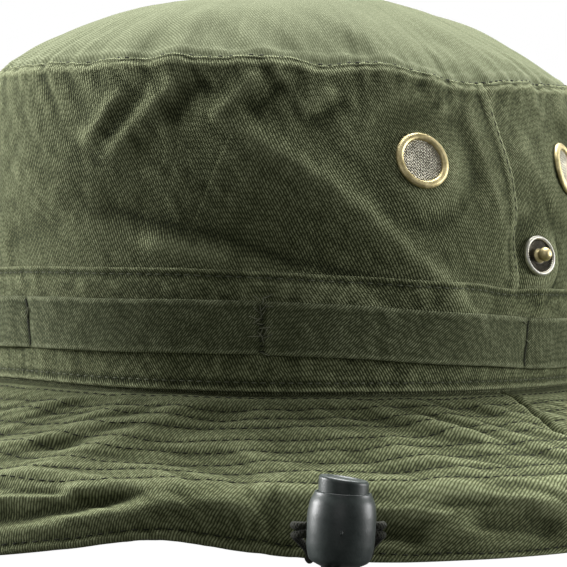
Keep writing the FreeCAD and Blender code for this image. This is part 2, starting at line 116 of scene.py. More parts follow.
def ring(controls):
    """Smooth closed function of the view angle through (degrees, value) pairs."""
    a = np.array([c[0] for c in controls], float)
    v = np.array([c[1] for c in controls], float)
    n = len(a)

    def value(angle):
        angle = (np.asarray(angle, float) - a[0]) % 360
        starts = a - a[0]
        k = np.clip(np.searchsorted(starts, angle, side="right") - 1, 0, n - 1)
        ends = np.append(starts[1:], 360.0)
        x = (angle - starts[k]) / (ends[k] - starts[k])
        p0, p1, p2, p3 = v[(k - 1) % n], v[k], v[(k + 1) % n], v[(k + 2) % n]
        slope1, slope2 = (p2 - p0) / 2, (p3 - p1) / 2
        x2, x3 = x * x, x * x * x
        start = (2 * x3 - 3 * x2 + 1) * p1 + (x3 - 2 * x2 + x) * slope1
        return start + (3 * x2 - 2 * x3) * p2 + (x3 - x2) * slope2

    return value


def noise(u, v, cell_u, cell_v, around, seed):
    """Smooth seeded noise of about -1 to 1 over (u, v) in millimetres, closed after `around` in u."""
    rng = np.random.default_rng(SEED * 1000 + seed)
    nu = max(3, int(round(around / cell_u)))
    nv = 257
    lattice = rng.uniform(-1, 1, (nu, nv))
    x = np.asarray(u) / around * nu
    y = np.asarray(v) / cell_v
    i, j = np.floor(x).astype(int), np.floor(y).astype(int)
    fx, fy = x - i, y - j
    fx, fy = fx ** 3 * (fx * (fx * 6 - 15) + 10), fy ** 3 * (fy * (fy * 6 - 15) + 10)
    a, b = lattice[i % nu, j % nv], lattice[(i + 1) % nu, j % nv]
    c, d = lattice[i % nu, (j + 1) % nv], lattice[(i + 1) % nu, (j + 1) % nv]
    return (a * (1 - fx) + b * fx) * (1 - fy) + (c * (1 - fx) + d * fx) * fy


def fold(x, y, path, height, above, below, power):
    """A crest or valley along a given path: its flanks fall over `above` and `below` millimetres."""
    path = np.array(path, float)
    best = np.full(np.shape(x), 1e9)
    side = np.zeros(np.shape(x))
    along = np.zeros(np.shape(x))
    lengths = np.hypot(*(path[1:] - path[:-1]).T)
    total, before = lengths.sum(), 0.0
    for (ax, ay), (bx, by), length in zip(path, path[1:], lengths):
        dx, dy = (bx - ax) / length, (by - ay) / length
        px, py = x - ax, y - ay
        run = np.clip(px * dx + py * dy, 0, length)
        off_x, off_y = px - run * dx, py - run * dy
        distance = np.hypot(off_x, off_y)
        nearer = distance < best
        best = np.where(nearer, distance, best)
        side = np.where(nearer, dx * py - dy * px, side)
        along = np.where(nearer, (before + run) / total, along)
        before += length
    width = np.where(side > 0, above, below)
    ends = smooth(along, 0, 0.25) * (1 - smooth(along, 0.75, 1))
    return height * ends * np.exp(-((best / width) ** (1 + power)))


def linked(obj, body, slot, *nodes):
    """Put a finished piece on a body and hide the CAD nodes it stands for; its finish slot is not used."""
    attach(obj, body)
    finish_piece(obj, slot, *nodes)
    return obj


def finish_piece(obj, slot, *nodes):
    if nodes:
        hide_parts(*nodes)


def make_object(name, verts, faces, uvs=None, wear_and_crease_shade=None, material=None, smooth_shade=True):
    """A mesh object from points in millimetres and faces, with uv in millimetres and, for each point, a value of
    crest wear and painted crease shade.
    """
    mesh = bpy.data.meshes.new(name)
    mesh.from_pydata((np.asarray(verts, float) * MM).tolist(), [], [tuple(f) for f in faces])
    loop_vertex = np.zeros(len(mesh.loops), int)
    mesh.loops.foreach_get("vertex_index", loop_vertex)
    if uvs is not None:
        layer = mesh.uv_layers.new(name="ClothUV")
        layer.data.foreach_set("uv", (np.asarray(uvs, float)[loop_vertex] * MM).ravel())
    if wear_and_crease_shade is not None:
        attribute = mesh.attributes.new("wear_and_crease_shade", "FLOAT", "POINT")
        attribute.data.foreach_set("value", np.asarray(wear_and_crease_shade, np.float32).ravel())
    if smooth_shade:
        mesh.polygons.foreach_set("use_smooth", [True] * len(mesh.polygons))
    obj = bpy.data.objects.new(name + "_detail", mesh)
    bpy.context.scene.collection.objects.link(obj)
    if material is not None:
        mesh.materials.append(material)
    mesh.update()
    return obj


def grid_normals(points, closed):
    """Normals of a grid of points, outward for azimuth x upward order."""
    if closed:
        du = np.roll(points, -1, 0) - np.roll(points, 1, 0)
    else:
        du = np.gradient(points, axis=0)
    dv = np.gradient(points, axis=1)
    n = np.cross(du, dv)
    return n / np.maximum(np.linalg.norm(n, axis=-1, keepdims=True), 1e-9)


def grid_faces(nu, nv, closed):
    """Quads of an outer grid, of the inner grid behind it, and of the rims between them, low edge first."""
    index = np.arange(nu * nv).reshape(nu, nv)
    a = index if not closed else np.concatenate([index, index[:1]])
    front = np.stack([k.ravel() for k in (a[:-1, :-1], a[1:, :-1], a[1:, 1:], a[:-1, 1:])], -1)
    edges = [(a[1:, 0], a[:-1, 0]), (a[:-1, -1], a[1:, -1])]
    if not closed:
        edges += [(a[0, :-1], a[0, 1:]), (a[-1, 1:], a[-1, :-1])]
    rims = [np.stack([p, q, q + nu * nv, p + nu * nv], -1) for p, q in edges]
    return front, front[:, ::-1] + nu * nv, rims


def shell(name, outer, thick, uv, closed, material, wear_and_crease_shade, holes=()):
    """Closed cloth shell from a grid of its outer face, thickened inwards.

    Round holes are given as (centre, radius).
    """
    nu, nv = outer.shape[:2]
    inner = outer - grid_normals(outer, closed) * thick
    verts = np.concatenate([outer.reshape(-1, 3), inner.reshape(-1, 3)])
    front, back, rims = grid_faces(nu, nv, closed)
    faces = np.concatenate([front, back, *rims])
    middle = verts[faces].mean(1)
    for center, radius in holes:
        faces = faces[np.linalg.norm(middle - center, axis=1) > radius]
        middle = verts[faces].mean(1)
    faces = faces.tolist()
    uv = np.concatenate([uv.reshape(-1, 2)] * 2)
    obj = make_object(name, verts, faces, None if closed else uv, np.concatenate([wear_and_crease_shade.ravel()] * 2), material)
    if closed:
        seam_uv(obj, uv, nu, nv)
    return obj


def seam_uv(obj, uv, nu, nv):
    """Give a closed shell its uv, with the last column running on past the first."""
    mesh = obj.data
    around = (uv[(nu - 1) * nv][0] - uv[0][0]) * nu / (nu - 1)
    loops = np.zeros(len(mesh.loops), int)
    mesh.loops.foreach_get("vertex_index", loops)
    starts = np.zeros(len(mesh.polygons), int)
    mesh.polygons.foreach_get("loop_start", starts)
    column = (loops % (nu * nv)) // nv
    face_of = np.repeat(np.arange(len(starts)), np.diff(np.append(starts, len(loops))))
    has_last = np.zeros(len(starts), bool)
    np.logical_or.at(has_last, face_of, column == nu - 1)
    values = uv[loops].copy()
    values[has_last[face_of] & (column == 0), 0] += around
    layer = mesh.uv_layers.new(name="ClothUV")
    layer.data.foreach_set("uv", (values * MM).ravel())


def lathe(profile, segments, ripple=None):
    """Turned piece about +Z from (radius, height) corners in millimetres, closed where radius is 0."""
    rows, verts = [], []
    for r, h in profile:
        if r < 1e-6:
            rows.append([len(verts)])
            verts.append((0, 0, h))
            continue
        start = len(verts)
        for i in range(segments):
            a = 2 * math.pi * i / segments
            rr, hh = (r, h) if ripple is None else ripple(i, r, h)
            verts.append((rr * math.cos(a), rr * math.sin(a), hh))
        rows.append(list(range(start, start + segments)))
    faces = []
    for p, q in zip(rows, rows[1:]):
        for i in range(segments):
            j = (i + 1) % segments
            if len(p) == 1:
                faces.append((p[0], q[j], q[i]))
            elif len(q) == 1:
                faces.append((p[i], p[j], q[0]))
            else:
                faces.append((p[i], p[j], q[j], q[i]))
    return np.array(verts, float), faces


def rounded(points, radius, steps=4):
    """An outline with each inner corner replaced by a short arc."""
    out = [points[0]]
    for a, b, c in zip(points, points[1:], points[2:]):
        a, b, c = np.array(a, float), np.array(b, float), np.array(c, float)
        back, ahead = a - b, c - b
        cut = min(radius, 0.45 * np.linalg.norm(back), 0.45 * np.linalg.norm(ahead))
        p = b + back / np.linalg.norm(back) * cut
        q = b + ahead / np.linalg.norm(ahead) * cut
        for k in range(steps + 1):
            x = k / steps
            out.append(tuple((1 - x) ** 2 * p + 2 * x * (1 - x) * b + x * x * q))
    out.append(points[-1])
    return out


def turned_to(verts, point, axis):
    """Points drawn about +Z moved to a place in millimetres with their +Z along an axis."""
    turn = Vector(axis).to_track_quat("Z", "Y").to_matrix()
    return np.asarray(verts) @ np.array(turn).T + np.asarray(point)


# =====================================================================================
# The hat's surfaces: crown side, crown tip and brim, as functions of azimuth and height
# =====================================================================================
def circle_through(a, b, c):
    """Centre and radius of the circle through three (r, z) points."""
    (ax, ay), (bx, by), (cx, cy) = a, b, c
    d = 2 * (ax * (by - cy) + bx * (cy - ay) + cx * (ay - by))
    a2, b2, c2 = ax * ax + ay * ay, bx * bx + by * by, cx * cx + cy * cy
    ux = (a2 * (by - cy) + b2 * (cy - ay) + c2 * (ay - by)) / d
    uy = (a2 * (cx - bx) + b2 * (ax - cx) + c2 * (bx - ax)) / d
    return ux, uy, math.hypot(ax - ux, ay - uy)


ARC_R, ARC_Z, ARC_RADIUS = circle_through(*CROWN_ARC)
LAP, LAP_HEIGHT, LAP_ROWS = 3.2, 0.40, (0.5, -1.3)
TIP_ROW, SIDE_ROW = 0.9, 1.6


def crown_r(z):
    return ARC_R + np.sqrt(ARC_RADIUS ** 2 - (z - ARC_Z) ** 2)


# How seams and edges rise, and how far the lip stands out, in mm at view angles in degrees.
tip_height = ring([(-180, 137), (-120, 138.6), (-62, 138.6), (-28, 136.9), (-17, 138.2), (-12, 137), (3, 137.2),
                   (9.5, 134.4), (18, 135.2), (29, 133.6), (40, 131.8), (55, 133.4), (95, 136), (140, 135)])
band_lift = ring([(-180, 0.5), (-110, 1.5), (-55, 3.3), (-25, 3.0), (0, 2.0), (25, -0.6), (50, -3.2),
                  (95, -2.4), (140, -0.4)])
seam_lift = ring([(-180, 0), (-110, 1.5), (-55, 2.6), (-25, 1.2), (0, 0.3), (50, -0.4), (110, 0)])
edge_lift = ring([(-180, 1.4), (-140, 2.6), (-100, 0.3), (-70, 2.2), (-45, -0.4), (-31, 0.0), (-22, 2.6),
                  (-11, 6.2), (0, 3.0), (5, 1.2), (12, 0.0), (18, -0.8), (26, -1.4), (36, -0.8), (60, 2.0),
                  (90, 0.0), (120, 2.0), (150, 0.0)])
lip_bulge = ring([(-180, 2.5), (-100, 3.0), (-60, 5.5), (-10, 6.8), (30, 5.5), (70, 3.0), (130, 2.0)])

# Creases that the hat shows from the front quarter: (view angle in degrees, height in mm) along each,
# then its height and how far its upper and lower flanks reach, in mm.
CROWN_FOLDS = [
    ([(-17, 123), (-6, 117), (8, 103), (20, 87), (29, 74), (38, 60), (46, 52)], 3.8, 6, 15),
    ([(-40, 97), (-30, 95), (-20, 91), (-9, 87), (3, 80), (16, 75), (30, 62)], -3.0, 15, 5),
    ([(-24, 86), (-14, 83), (-5, 79)], 1.2, 5, 5),
    ([(-27, 131), (-30, 122), (-35, 111)], 1.5, 4, 4),
    ([(-22, 131), (-25, 122), (-30, 112)], -1.0, 4, 4),
    ([(-15, 134), (-18, 128), (-23, 121), (-31, 106)], 1.5, 4, 5),
    ([(-10, 132), (-14, 126), (-19, 117)], -1.1, 4, 4),
    ([(-1, 134), (-5, 127), (-11, 118)], 1.4, 4, 4),
    ([(3, 131), (0, 125), (-4, 119)], -0.9, 4, 3),
    ([(12, 129), (8, 124), (4, 121)], 1.2, 3, 4),
    ([(14, 126), (10, 121), (5, 117)], -0.8, 4, 3),
    ([(27, 133), (30, 127), (32, 122)], -0.8, 4, 4),
    ([(38, 128), (40, 112), (43, 96), (45, 84)], 1.1, 5, 5),
    ([(35, 126), (37, 112), (40, 98)], -0.9, 5, 5),
    ([(48, 118), (55, 106), (64, 98)], 1.2, 6, 6),
    ([(62, 139), (85, 134), (108, 139)], 3.2, 26, 26),
    ([(-55, 110), (-45, 100), (-36, 96)], 1.0, 8, 8),
    ([(-58, 84), (-46, 88), (-36, 92)], -1.2, 6, 8),
]
DISCS = {  # vents and snap: azimuth, height, how far the cloth under it leans back and turns
    "vent_front_right": (69.5, 108.0, 0.22, 0.02), "vent_back_right": (112.5, 108.0, 0.12, 0.0),
    "vent_back_left": (-110.5, 108.0, 0.08, 0.0), "vent_front_left": (-69.5, 108.0, 0.10, 0.0),
    "snap_stud_right": (98.5, 81.2, 0.20, 0.28), "snap_stud_left": (-97.0, 81.2, 0.05, 0.0),
}
DISC_REACH = {"vent": (9.0, 20.0), "snap": (6.5, 15.0)}


def oval_turn(azimuth):
    """The round hat's azimuth for a true azimuth in degrees."""
    a = math.radians(azimuth)
    return math.atan2(math.sin(a) / OVAL[0], math.cos(a) / OVAL[1])


def arc_mm(angle):
    return np.radians(angle) * CROWN_MID_R


def random_folds():
    """Soft slanting folds for the sides of the crown away from the front quarter."""
    rng = np.random.default_rng(SEED)
    folds = []
    for k in range(26):
        angle = 68 + k * (360 - 136) / 25 + rng.uniform(-5, 5)
        z = rng.uniform(82, 122)
        lean = rng.choice([-1, 1]) * rng.uniform(8, 20)
        drop = rng.uniform(8, 26)
        middle = (angle, z + rng.uniform(-3, 3))
        path = [(angle - lean / 2, z + drop / 2), middle, (angle + lean / 2, z - drop / 2)]
        height = rng.choice([-1, 1]) * rng.uniform(0.8, 2.0)
        folds.append((path, height, rng.uniform(4, 9), rng.uniform(4, 9)))
    return folds


ALL_CROWN_FOLDS = CROWN_FOLDS + random_folds()


def tip_line(t):
    """Height of the tip seam, with the small rise and fall of its gathers."""
    u = around_mm(t)
    gathers = 0.6 * noise(u, 0 * u, 7.5, 10, AROUND, 51) + 0.3 * noise(u, 0 * u, 3.4, 10, AROUND, 52)
    return tip_height(view_angle(t)) + gathers


def crown_push(t, z):
    """How far cloth stands out from the crown's plain arc, in millimetres."""
    angle = view_angle(t)
    top, u = tip_line(t), around_mm(t)
    push = 1.2 * noise(u, z, 75, 60, AROUND, 1) + 0.45 * noise(u + 0.7 * z, z, 24, 30, AROUND, 2)
    fade = smooth(z, 44, 58)
    for path, height, above, below in ALL_CROWN_FOLDS:
        for shift in (-360, 0, 360):
            low = min(p[0] for p in path) + shift
            high = max(p[0] for p in path) + shift
            if high < -200 or low > 200:
                continue
            line = [(arc_mm(a + shift), b) for a, b in path]
            push = push + fade * fold(arc_mm(angle), z, line, height, above, below, 0.6)
    under = np.clip(top - z, 0, None)
    slant = 0.9 * smooth(-angle, -25, 25) - 0.6 * smooth(angle, 20, 60)
    push = push + 0.9 * noise(u - slant * under, z, 6.0, 60, AROUND, 3) * np.exp(-under / 10)
    push = push + 0.35 * noise(u - slant * under, z, 3.2, 60, AROUND, 8) * np.exp(-under / 7)
    push = push + 0.13 * noise(u + 0.4 * z, z, 3.1, 4.0, AROUND, 4)
    push = push - 0.65 * bell(under, 0, 0.9) + 0.2 * bell(under, SIDE_ROW, 0.8)
    for name, (azimuth, height, lean, turn) in DISCS.items():
        near, far = DISC_REACH[name[:4]]
        center = oval_turn(azimuth)
        du = wrapped(t - center) * CROWN_MID_R
        dz = z - height
        reach = np.hypot(du, dz)
        inside = 1 - smooth(reach, near, far)
        push = push * (1 - inside) + inside * (0.4 - lean * dz + turn * du)
    return push


def seam_distance(t):
    """Distance in mm past the nearer side seam, negative on the front panel."""
    return (np.abs(wrapped(t)) - QUARTER) * CROWN_MID_R


def side_lap(t):
    """Lap of the front panel over the back one, and the dips of its two stitch rows."""
    past = seam_distance(t)
    push = LAP_HEIGHT * smooth(past, -LAP - 0.7, -LAP + 0.5) * (1 - smooth(past, 0.1, 0.6))
    for row in LAP_ROWS:
        push = push - 0.2 * bell(past, row, 0.6)
    return push - 1.2 * bell(past, 0.7, 0.8)


def seam_lean(t, z):
    """The right side seam's lean, as a turn in radians that fades out away from it."""
    near = 1 - smooth(np.abs(wrapped(t) - QUARTER), 0.15, 0.75)
    return near * (5.2 - 8.0 * smooth(z, 95, 142)) / CROWN_MID_R


def crown_point(t, z, offset=0.0, lap=False, rise=None):
    """Outer face of the crown side; z is the height on the plain arc, before the seams rise and fall."""
    plain = t
    t = t + seam_lean(t, z)
    angle = view_angle(t)
    if rise is None:
        rise = seam_lift(angle) * (1 - smooth(z, 44, 90)) + smooth(z, 84, TIP_Z) * (tip_line(t) - TIP_Z)
    height = z + rise
    r = crown_r(z) + crown_push(t, height) + offset
    if lap:
        r = r + side_lap(plain)
    return oval(t, r, height)


def on_cloth(azimuth, height):
    """Place and outward direction on the crown side for a true azimuth in degrees and a true height."""
    goal, t, z = oval_turn(azimuth), oval_turn(azimuth), height
    for _ in range(6):
        t = goal - float(seam_lean(np.array(t), np.array(z)))
        z = z + height - float(crown_point(np.array(t), np.array(z))[2])
    t, z = np.array(t), np.array(z)
    return crown_point(t, z), normal_of(crown_point, t, z)


def tip_point(t, inward):
    """Crown tip; inward runs in mm from 0 at the seam to TIP_R at the middle."""
    u, rim = around_mm(t, TIP_R), tip_line(t)
    at_seam = crown_push(t, rim)
    r = TIP_R - inward + at_seam * np.exp(-np.clip(inward, 0, None) / 14) + 0.1 * bell(inward, 0, 1)
    share = np.clip(inward / TIP_R, 0, 1)
    crown = rim + (APEX_Z - rim) * (1 - (1 - share) ** 3.1)
    wave = 0.9 * noise(u + 0.8 * inward, inward, 7.5, 60, TIP_AROUND, 5)
    wave = wave * np.exp(-inward / 13) * smooth(inward, 0.3, 4)
    x, y = r * np.sin(t) + 200, r * np.cos(t) + 200
    soft = 1.7 * noise(x, y, 38, 30, 1000, 6) * smooth(inward, 3, 20)
    small = 0.45 * noise(x + 0.5 * y, y, 13, 17, 1000, 7) * smooth(inward, 2, 12)
    roll = 0.3 * bell(inward, 2.6, 1.0) - 0.35 * bell(inward, TIP_ROW, 0.6)
    roll = roll + 0.3 * noise(u, inward, 2.9, 60, TIP_AROUND, 9) * np.exp(-inward / 4)
    return oval(t, r, crown + wave + soft + small + roll)


# ---- brim ----
BRIM_LENGTH = SLOPE_LENGTH + FOLD_R * (LIP_SLOPE - BRIM_SLOPE) + LIP_LENGTH
SOCKET_AZIMUTHS, SOCKET_DOWN = (98.1, -97.0), 43.5
ROWS = [4.2 + 4.85 * k for k in range(9)] + [BRIM_LENGTH - 2.6]
# Brim creases: (view angle in degrees, distance down the brim in mm), height, flanks.
BRIM_FOLDS = [
    ([(-36, 47), (-29, 41), (-22, 28), (-15, 14), (-9, 3)], 2.0, 7, 6),
    ([(-40, 36), (-32, 27), (-26, 14), (-21, 4)], 1.4, 5, 6),
    ([(-38, 43), (-31, 36), (-24, 22)], -1.3, 5, 5),
    ([(-36, 57), (-26, 55), (-18, 52), (-10, 49)], -3.2, 4, 4),
    ([(-34, 46), (-27, 46.5), (-20, 47)], -2.4, 3, 3),
    ([(-34, 51), (-26, 50), (-17, 48.5)], 1.6, 3, 3),
    ([(7, 57), (12, 58.5), (18, 62)], -3.2, 4, 3),
    ([(6, 51.5), (14, 53), (22, 54)], 1.2, 3, 3),
    ([(21, 55), (27, 58), (34, 60)], -2.4, 4, 4),
    ([(9, 26), (14, 36), (20, 45)], -1.1, 4, 4),
    ([(14, 24), (20, 33), (26, 42)], 1.2, 4, 4),
    ([(20, 12), (26, 22), (32, 34)], 1.3, 5, 5),
    ([(-6, 24), (0, 32), (8, 41)], 1.0, 4, 4),
    ([(-14, 30), (-6, 36), (2, 44)], -0.9, 4, 4),
]


def brim_line(s):
    """Radius, height and fall angle of the brim's plain section at a distance down it."""
    s = np.asarray(s, float)
    arc = FOLD_R * (LIP_SLOPE - BRIM_SLOPE)
    on_slope = np.minimum(s, SLOPE_LENGTH)
    r = BRIM_ROOT[0] + on_slope * math.cos(BRIM_SLOPE)
    z = BRIM_ROOT[1] - on_slope * math.sin(BRIM_SLOPE)
    turn = BRIM_SLOPE + np.clip(s - SLOPE_LENGTH, 0, arc) / FOLD_R
    r = r + FOLD_R * (np.sin(turn) - math.sin(BRIM_SLOPE))
    z = z + FOLD_R * (np.cos(turn) - math.cos(BRIM_SLOPE))
    beyond = np.clip(s - SLOPE_LENGTH - arc, 0, None)
    return r + beyond * math.cos(LIP_SLOPE), z - beyond * math.sin(LIP_SLOPE), turn


def row_sway(t, k):
    """How far a quilting row strays from its even distance down the brim."""
    u = around_mm(t, BRIM_MID_R)
    slow, quick = noise(u, 0 * u, 34, 10, BRIM_AROUND, 200 + k), noise(u, 0 * u, 8, 10, BRIM_AROUND, 230 + k)
    return 0.7 * slow + 0.4 * quick


def seam_wander(s):
    """How far the brim's side seams stray from a straight line, in millimetres."""
    return 0.9 * noise(s, 0 * s, 9, 9, 900, 15)


def brim_point(t, s, offset=0.0):
    """The brim at a distance down its section, at an offset from the middle of its layers."""
    angle, u = view_angle(t), around_mm(t, BRIM_MID_R)
    r, z, turn = brim_line(s)
    to_left, to_right = smooth(-angle, -8, 30), smooth(angle, -8, 30)
    lean = 1.6 * to_left * smooth(angle, -110, -70) - 1.1 * to_right * smooth(-angle, -110, -70)
    away = smooth(s, 2, 12)
    wave = 0.95 * noise(u + lean * s, s, 7.5, 11, BRIM_AROUND, 11) * away
    wave = wave + 0.38 * noise(u + 1.6 * lean * s, s, 4.2, 6, BRIM_AROUND, 12) * away
    wave = wave + 1.5 * noise(u + 0.5 * lean * s, s, 26, 34, BRIM_AROUND, 13) * smooth(s, 8, 30)
    lip = smooth(s, SLOPE_LENGTH - 3, SLOPE_LENGTH + 6)
    wave = wave + 1.6 * noise(u + 1.1 * s, s, 17, 12, BRIM_AROUND, 14) * lip
    for path, height, above, below in BRIM_FOLDS:
        line = [(math.radians(a) * BRIM_MID_R, -b) for a, b in path]
        wave = wave + fold(np.radians(angle) * BRIM_MID_R, -s + 0 * t, line, height, above, below, 0.7)
    pinch = 0.6 * bell(seam_distance(t), 0, 0.8)
    wave = wave - 1.9 * bell(seam_distance(t), -seam_wander(s + 0 * u), 1.3) * smooth(s, 1, 5)
    for k, row in enumerate(ROWS):
        pinch = pinch + 0.24 * bell(s - row_sway(t, k), row, 0.8)
    rise = edge_lift(angle) * smooth(s, 26, BRIM_LENGTH) + seam_lift(angle) * (1 - smooth(s, 0, 30))
    flat = 0 * wave
    for azimuth in SOCKET_AZIMUTHS:
        du = wrapped(t - oval_turn(azimuth)) * r
        flat = np.maximum(flat, 1 - smooth(np.hypot(du, s - SOCKET_DOWN), 6, 15))
    n = wave * (1 - flat) + offset * (1 - pinch) - 0.35 * flat - 1.7 * (1 - smooth(s, 0.5, 4.5))
    rise = rise * (1 - flat)
    r = r + lip_bulge(angle) * (1 - flat) * smooth(s, 12, 48) * (1 - smooth(s, 51, BRIM_LENGTH + 1))
    n = n - 0.6 * wave * (1 - flat) * smooth(s, BRIM_LENGTH - 14, BRIM_LENGTH)
    height = z + n * np.cos(turn) + rise
    return oval(t, r + n * np.sin(turn), np.where(height < 1, np.exp(np.minimum(height, 1) - 1), height))


def normal_of(surface, t, v):
    """Outward normal of a surface function at azimuth t and its other coordinate."""
    e = 0.2
    turn = e / CROWN_MID_R
    a = surface(t + turn, v) - surface(t - turn, v)
    b = surface(t, v + e) - surface(t, v - e)
    n = np.cross(a, b)
    return n / np.linalg.norm(n, axis=-1, keepdims=True)


# =====================================================================================
# Finishes
# =====================================================================================
class Finish:
    """A procedural material, built node by node."""

    def __init__(self, name):
        self.material = bpy.data.materials.new(name)
        self.material.use_nodes = True
        self.tree = self.material.node_tree
        self.tree.nodes.clear()
        self.surface = self.node("BsdfPrincipled")
        self.link(self.surface.outputs["BSDF"], self.node("OutputMaterial").inputs["Surface"])

    def node(self, kind, **settings):
        node = self.tree.nodes.new("ShaderNode" + kind)
        for key, value in settings.items():
            setattr(node, key, value)
        return node

    def link(self, source, target):
        self.tree.links.new(source, target)

    def put(self, value, socket):
        """Link a socket, or set a constant."""
        if isinstance(value, bpy.types.NodeSocket):
            self.link(value, socket)
        else:
            socket.default_value = value

    def math(self, operation, *values):
        node = self.node("Math", operation=operation)
        for value, socket in zip(values, node.inputs):
            self.put(value, socket)
        return node.outputs[0]

    def sum(self, *values):
        total = values[0]
        for value in values[1:]:
            total = self.math("ADD", total, value)
        return total

    def mix(self, *shares):
        """Sum of (value, weight) pairs; a plain number is added as it is."""
        parts = [self.math("MULTIPLY", *share) if isinstance(share, tuple) else share for share in shares]
        return self.sum(*parts)

    def place(self):
        """Position on the object, in metres."""
        return self.node("TexCoord").outputs["Object"]

    def cloth_uv(self):
        """Cloth coordinates, and their x and y."""
        uv = self.node("UVMap", uv_map="ClothUV").outputs["UV"]
        split = self.node("SeparateXYZ")
        self.link(uv, split.inputs[0])
        return uv, split.outputs["X"], split.outputs["Y"]

    def wave(self, value):
        """|sin(pi x)|, one hump per unit."""
        return self.math("ABSOLUTE", self.math("SINE", self.math("MULTIPLY", value, math.pi)))

    def noise(self, vector, scale, detail=2.0, roughness=0.5):
        node = self.node("TexNoise")
        self.link(vector, node.inputs["Vector"])
        node.inputs["Scale"].default_value = scale
        node.inputs["Detail"].default_value = detail
        node.inputs["Roughness"].default_value = roughness
        return node.outputs["Fac"]

    def scatter(self, x, y):
        """A random number for each whole (x, y) cell."""
        cell = self.node("CombineXYZ")
        self.put(x, cell.inputs["X"])
        self.put(y, cell.inputs["Y"])
        white = self.node("TexWhiteNoise", noise_dimensions="2D")
        self.link(cell.outputs[0], white.inputs["Vector"])
        return white.outputs["Value"]

    def attribute(self, name):
        return self.node("Attribute", attribute_name=name, attribute_type="GEOMETRY").outputs["Fac"]

    def ramp(self, value, *stops):
        node = self.node("ValToRGB")
        self.link(value, node.inputs["Fac"])
        elements = node.color_ramp.elements
        while len(elements) < len(stops):
            elements.new(0.5)
        for element, (place, color) in zip(elements, stops):
            element.position = place
            element.color = (*color, 1.0)
        self.link(node.outputs["Color"], self.surface.inputs["Base Color"])

    def bump(self, height, distance, strength):
        node = self.node("Bump")
        self.link(height, node.inputs["Height"])
        node.inputs["Distance"].default_value = distance
        node.inputs["Strength"].default_value = strength
        self.link(node.outputs["Normal"], self.surface.inputs["Normal"])

    def feel(self, **sockets):
        for key, value in sockets.items():
            self.surface.inputs[key.replace("_", " ")].default_value = value


def twill(name, dark, middle, light, wale=WALE, float_length=1.7, relief=0.24, sheen=0.12):
    """Twill weave: slanting wales made of short floats, uneven yarns, worn crests and painted shade in creases."""
    f = Finish(name)
    uv, x, y = f.cloth_uv()
    slow, quick = (f.math("SUBTRACT", f.noise(uv, scale), 0.5) for scale in (90.0, 480.0))
    across = f.sum(f.math("DIVIDE", x, wale * MM), f.mix((slow, 1.6), (quick, 0.7)))
    wale_index = f.math("FLOOR", across)
    along = f.mix(f.math("DIVIDE", y, float_length * MM), (wale_index, 0.42), (f.scatter(wale_index, 3.0), 0.9))
    ridge = f.math("POWER", f.wave(across), 1.2)
    floats = f.math("POWER", f.wave(along), 0.5)
    weave = f.math("MULTIPLY", ridge, f.mix((floats, 0.62), 0.38))
    yarn = f.scatter(wale_index, f.math("FLOOR", along))
    fibre = f.noise(uv, 1700.0, 3.0, 0.7)
    mottle = f.math("SUBTRACT", f.noise(f.place(), 45.0, 4.0, 0.6), 0.5)
    slubs = f.math("MULTIPLY", yarn, ridge)
    # The crest value from the mesh lightens worn crests and darkens creases with painted shade.
    tone = f.mix((weave, 0.60), (slubs, 0.2), (fibre, 0.24), (mottle, 0.16), (f.attribute("wear_and_crease_shade"), 0.24), -0.08)
    f.ramp(tone, (0.10, dark), (0.50, middle), (1.0, light))
    f.bump(f.mix((weave, 0.8), (fibre, 0.25), (yarn, 0.12)), relief * MM, 0.8)
    f.feel(Roughness=0.95, Specular_IOR_Level=0.15, Sheen_Weight=sheen, Sheen_Roughness=0.5)
    f.surface.inputs["Sheen Tint"].default_value = (*light, 1.0)
    return f.material


def plain_weave(name, dark, light, thread, relief=0.15):
    """Plain over-and-under weave of round threads."""
    f = Finish(name)
    uv, *both = f.cloth_uv()
    x, y = (f.math("DIVIDE", value, thread * MM) for value in both)
    column, row = f.math("FLOOR", x), f.math("FLOOR", y)
    odd = f.math("PINGPONG", f.math("ADD", column, row), 1.0)
    over = f.math("MULTIPLY", f.wave(x), odd)
    under = f.math("MULTIPLY", f.wave(y), f.math("SUBTRACT", 1.0, odd))
    weave = f.math("ADD", over, under)
    fibre = f.noise(uv, 2600.0, 2.0, 0.6)
    f.ramp(f.mix((weave, 0.6), (f.scatter(column, row), 0.2), (fibre, 0.25)), (0.15, dark), (0.9, light))
    f.bump(f.mix(weave, (fibre, 0.3)), relief * MM, 0.7)
    f.feel(Roughness=0.9, Specular_IOR_Level=0.25, Sheen_Weight=0.2)
    return f.material


def thread_finish(name, dark, light):
    """Matt spun thread with faint fibres."""
    f = Finish(name)
    place = f.place()
    f.ramp(f.mix((f.noise(place, 1500.0, 2.0), 0.6), (f.noise(place, 160.0), 0.4)), (0.3, dark), (0.7, light))
    f.bump(f.noise(place, 2600.0, 2.0), 0.08 * MM, 0.6)
    f.feel(Roughness=0.85, Specular_IOR_Level=0.15, Sheen_Weight=0.05)
    return f.material


def metal(name, dull, bright, roughness):
    """Worn plated metal: bright where rubbed, dull and rougher elsewhere."""
    f = Finish(name)
    place = f.place()
    patches, fine = f.noise(place, 240.0, 4.0, 0.65), f.noise(place, 900.0, 3.0, 0.7)
    f.ramp(f.mix((patches, 0.7), (fine, 0.3)), (0.35, dull), (0.65, bright))
    f.link(f.mix(roughness - 0.08, (patches, 0.22)), f.surface.inputs["Roughness"])
    f.bump(fine, 0.05 * MM, 0.35)
    f.feel(Metallic=1.0)
    return f.material


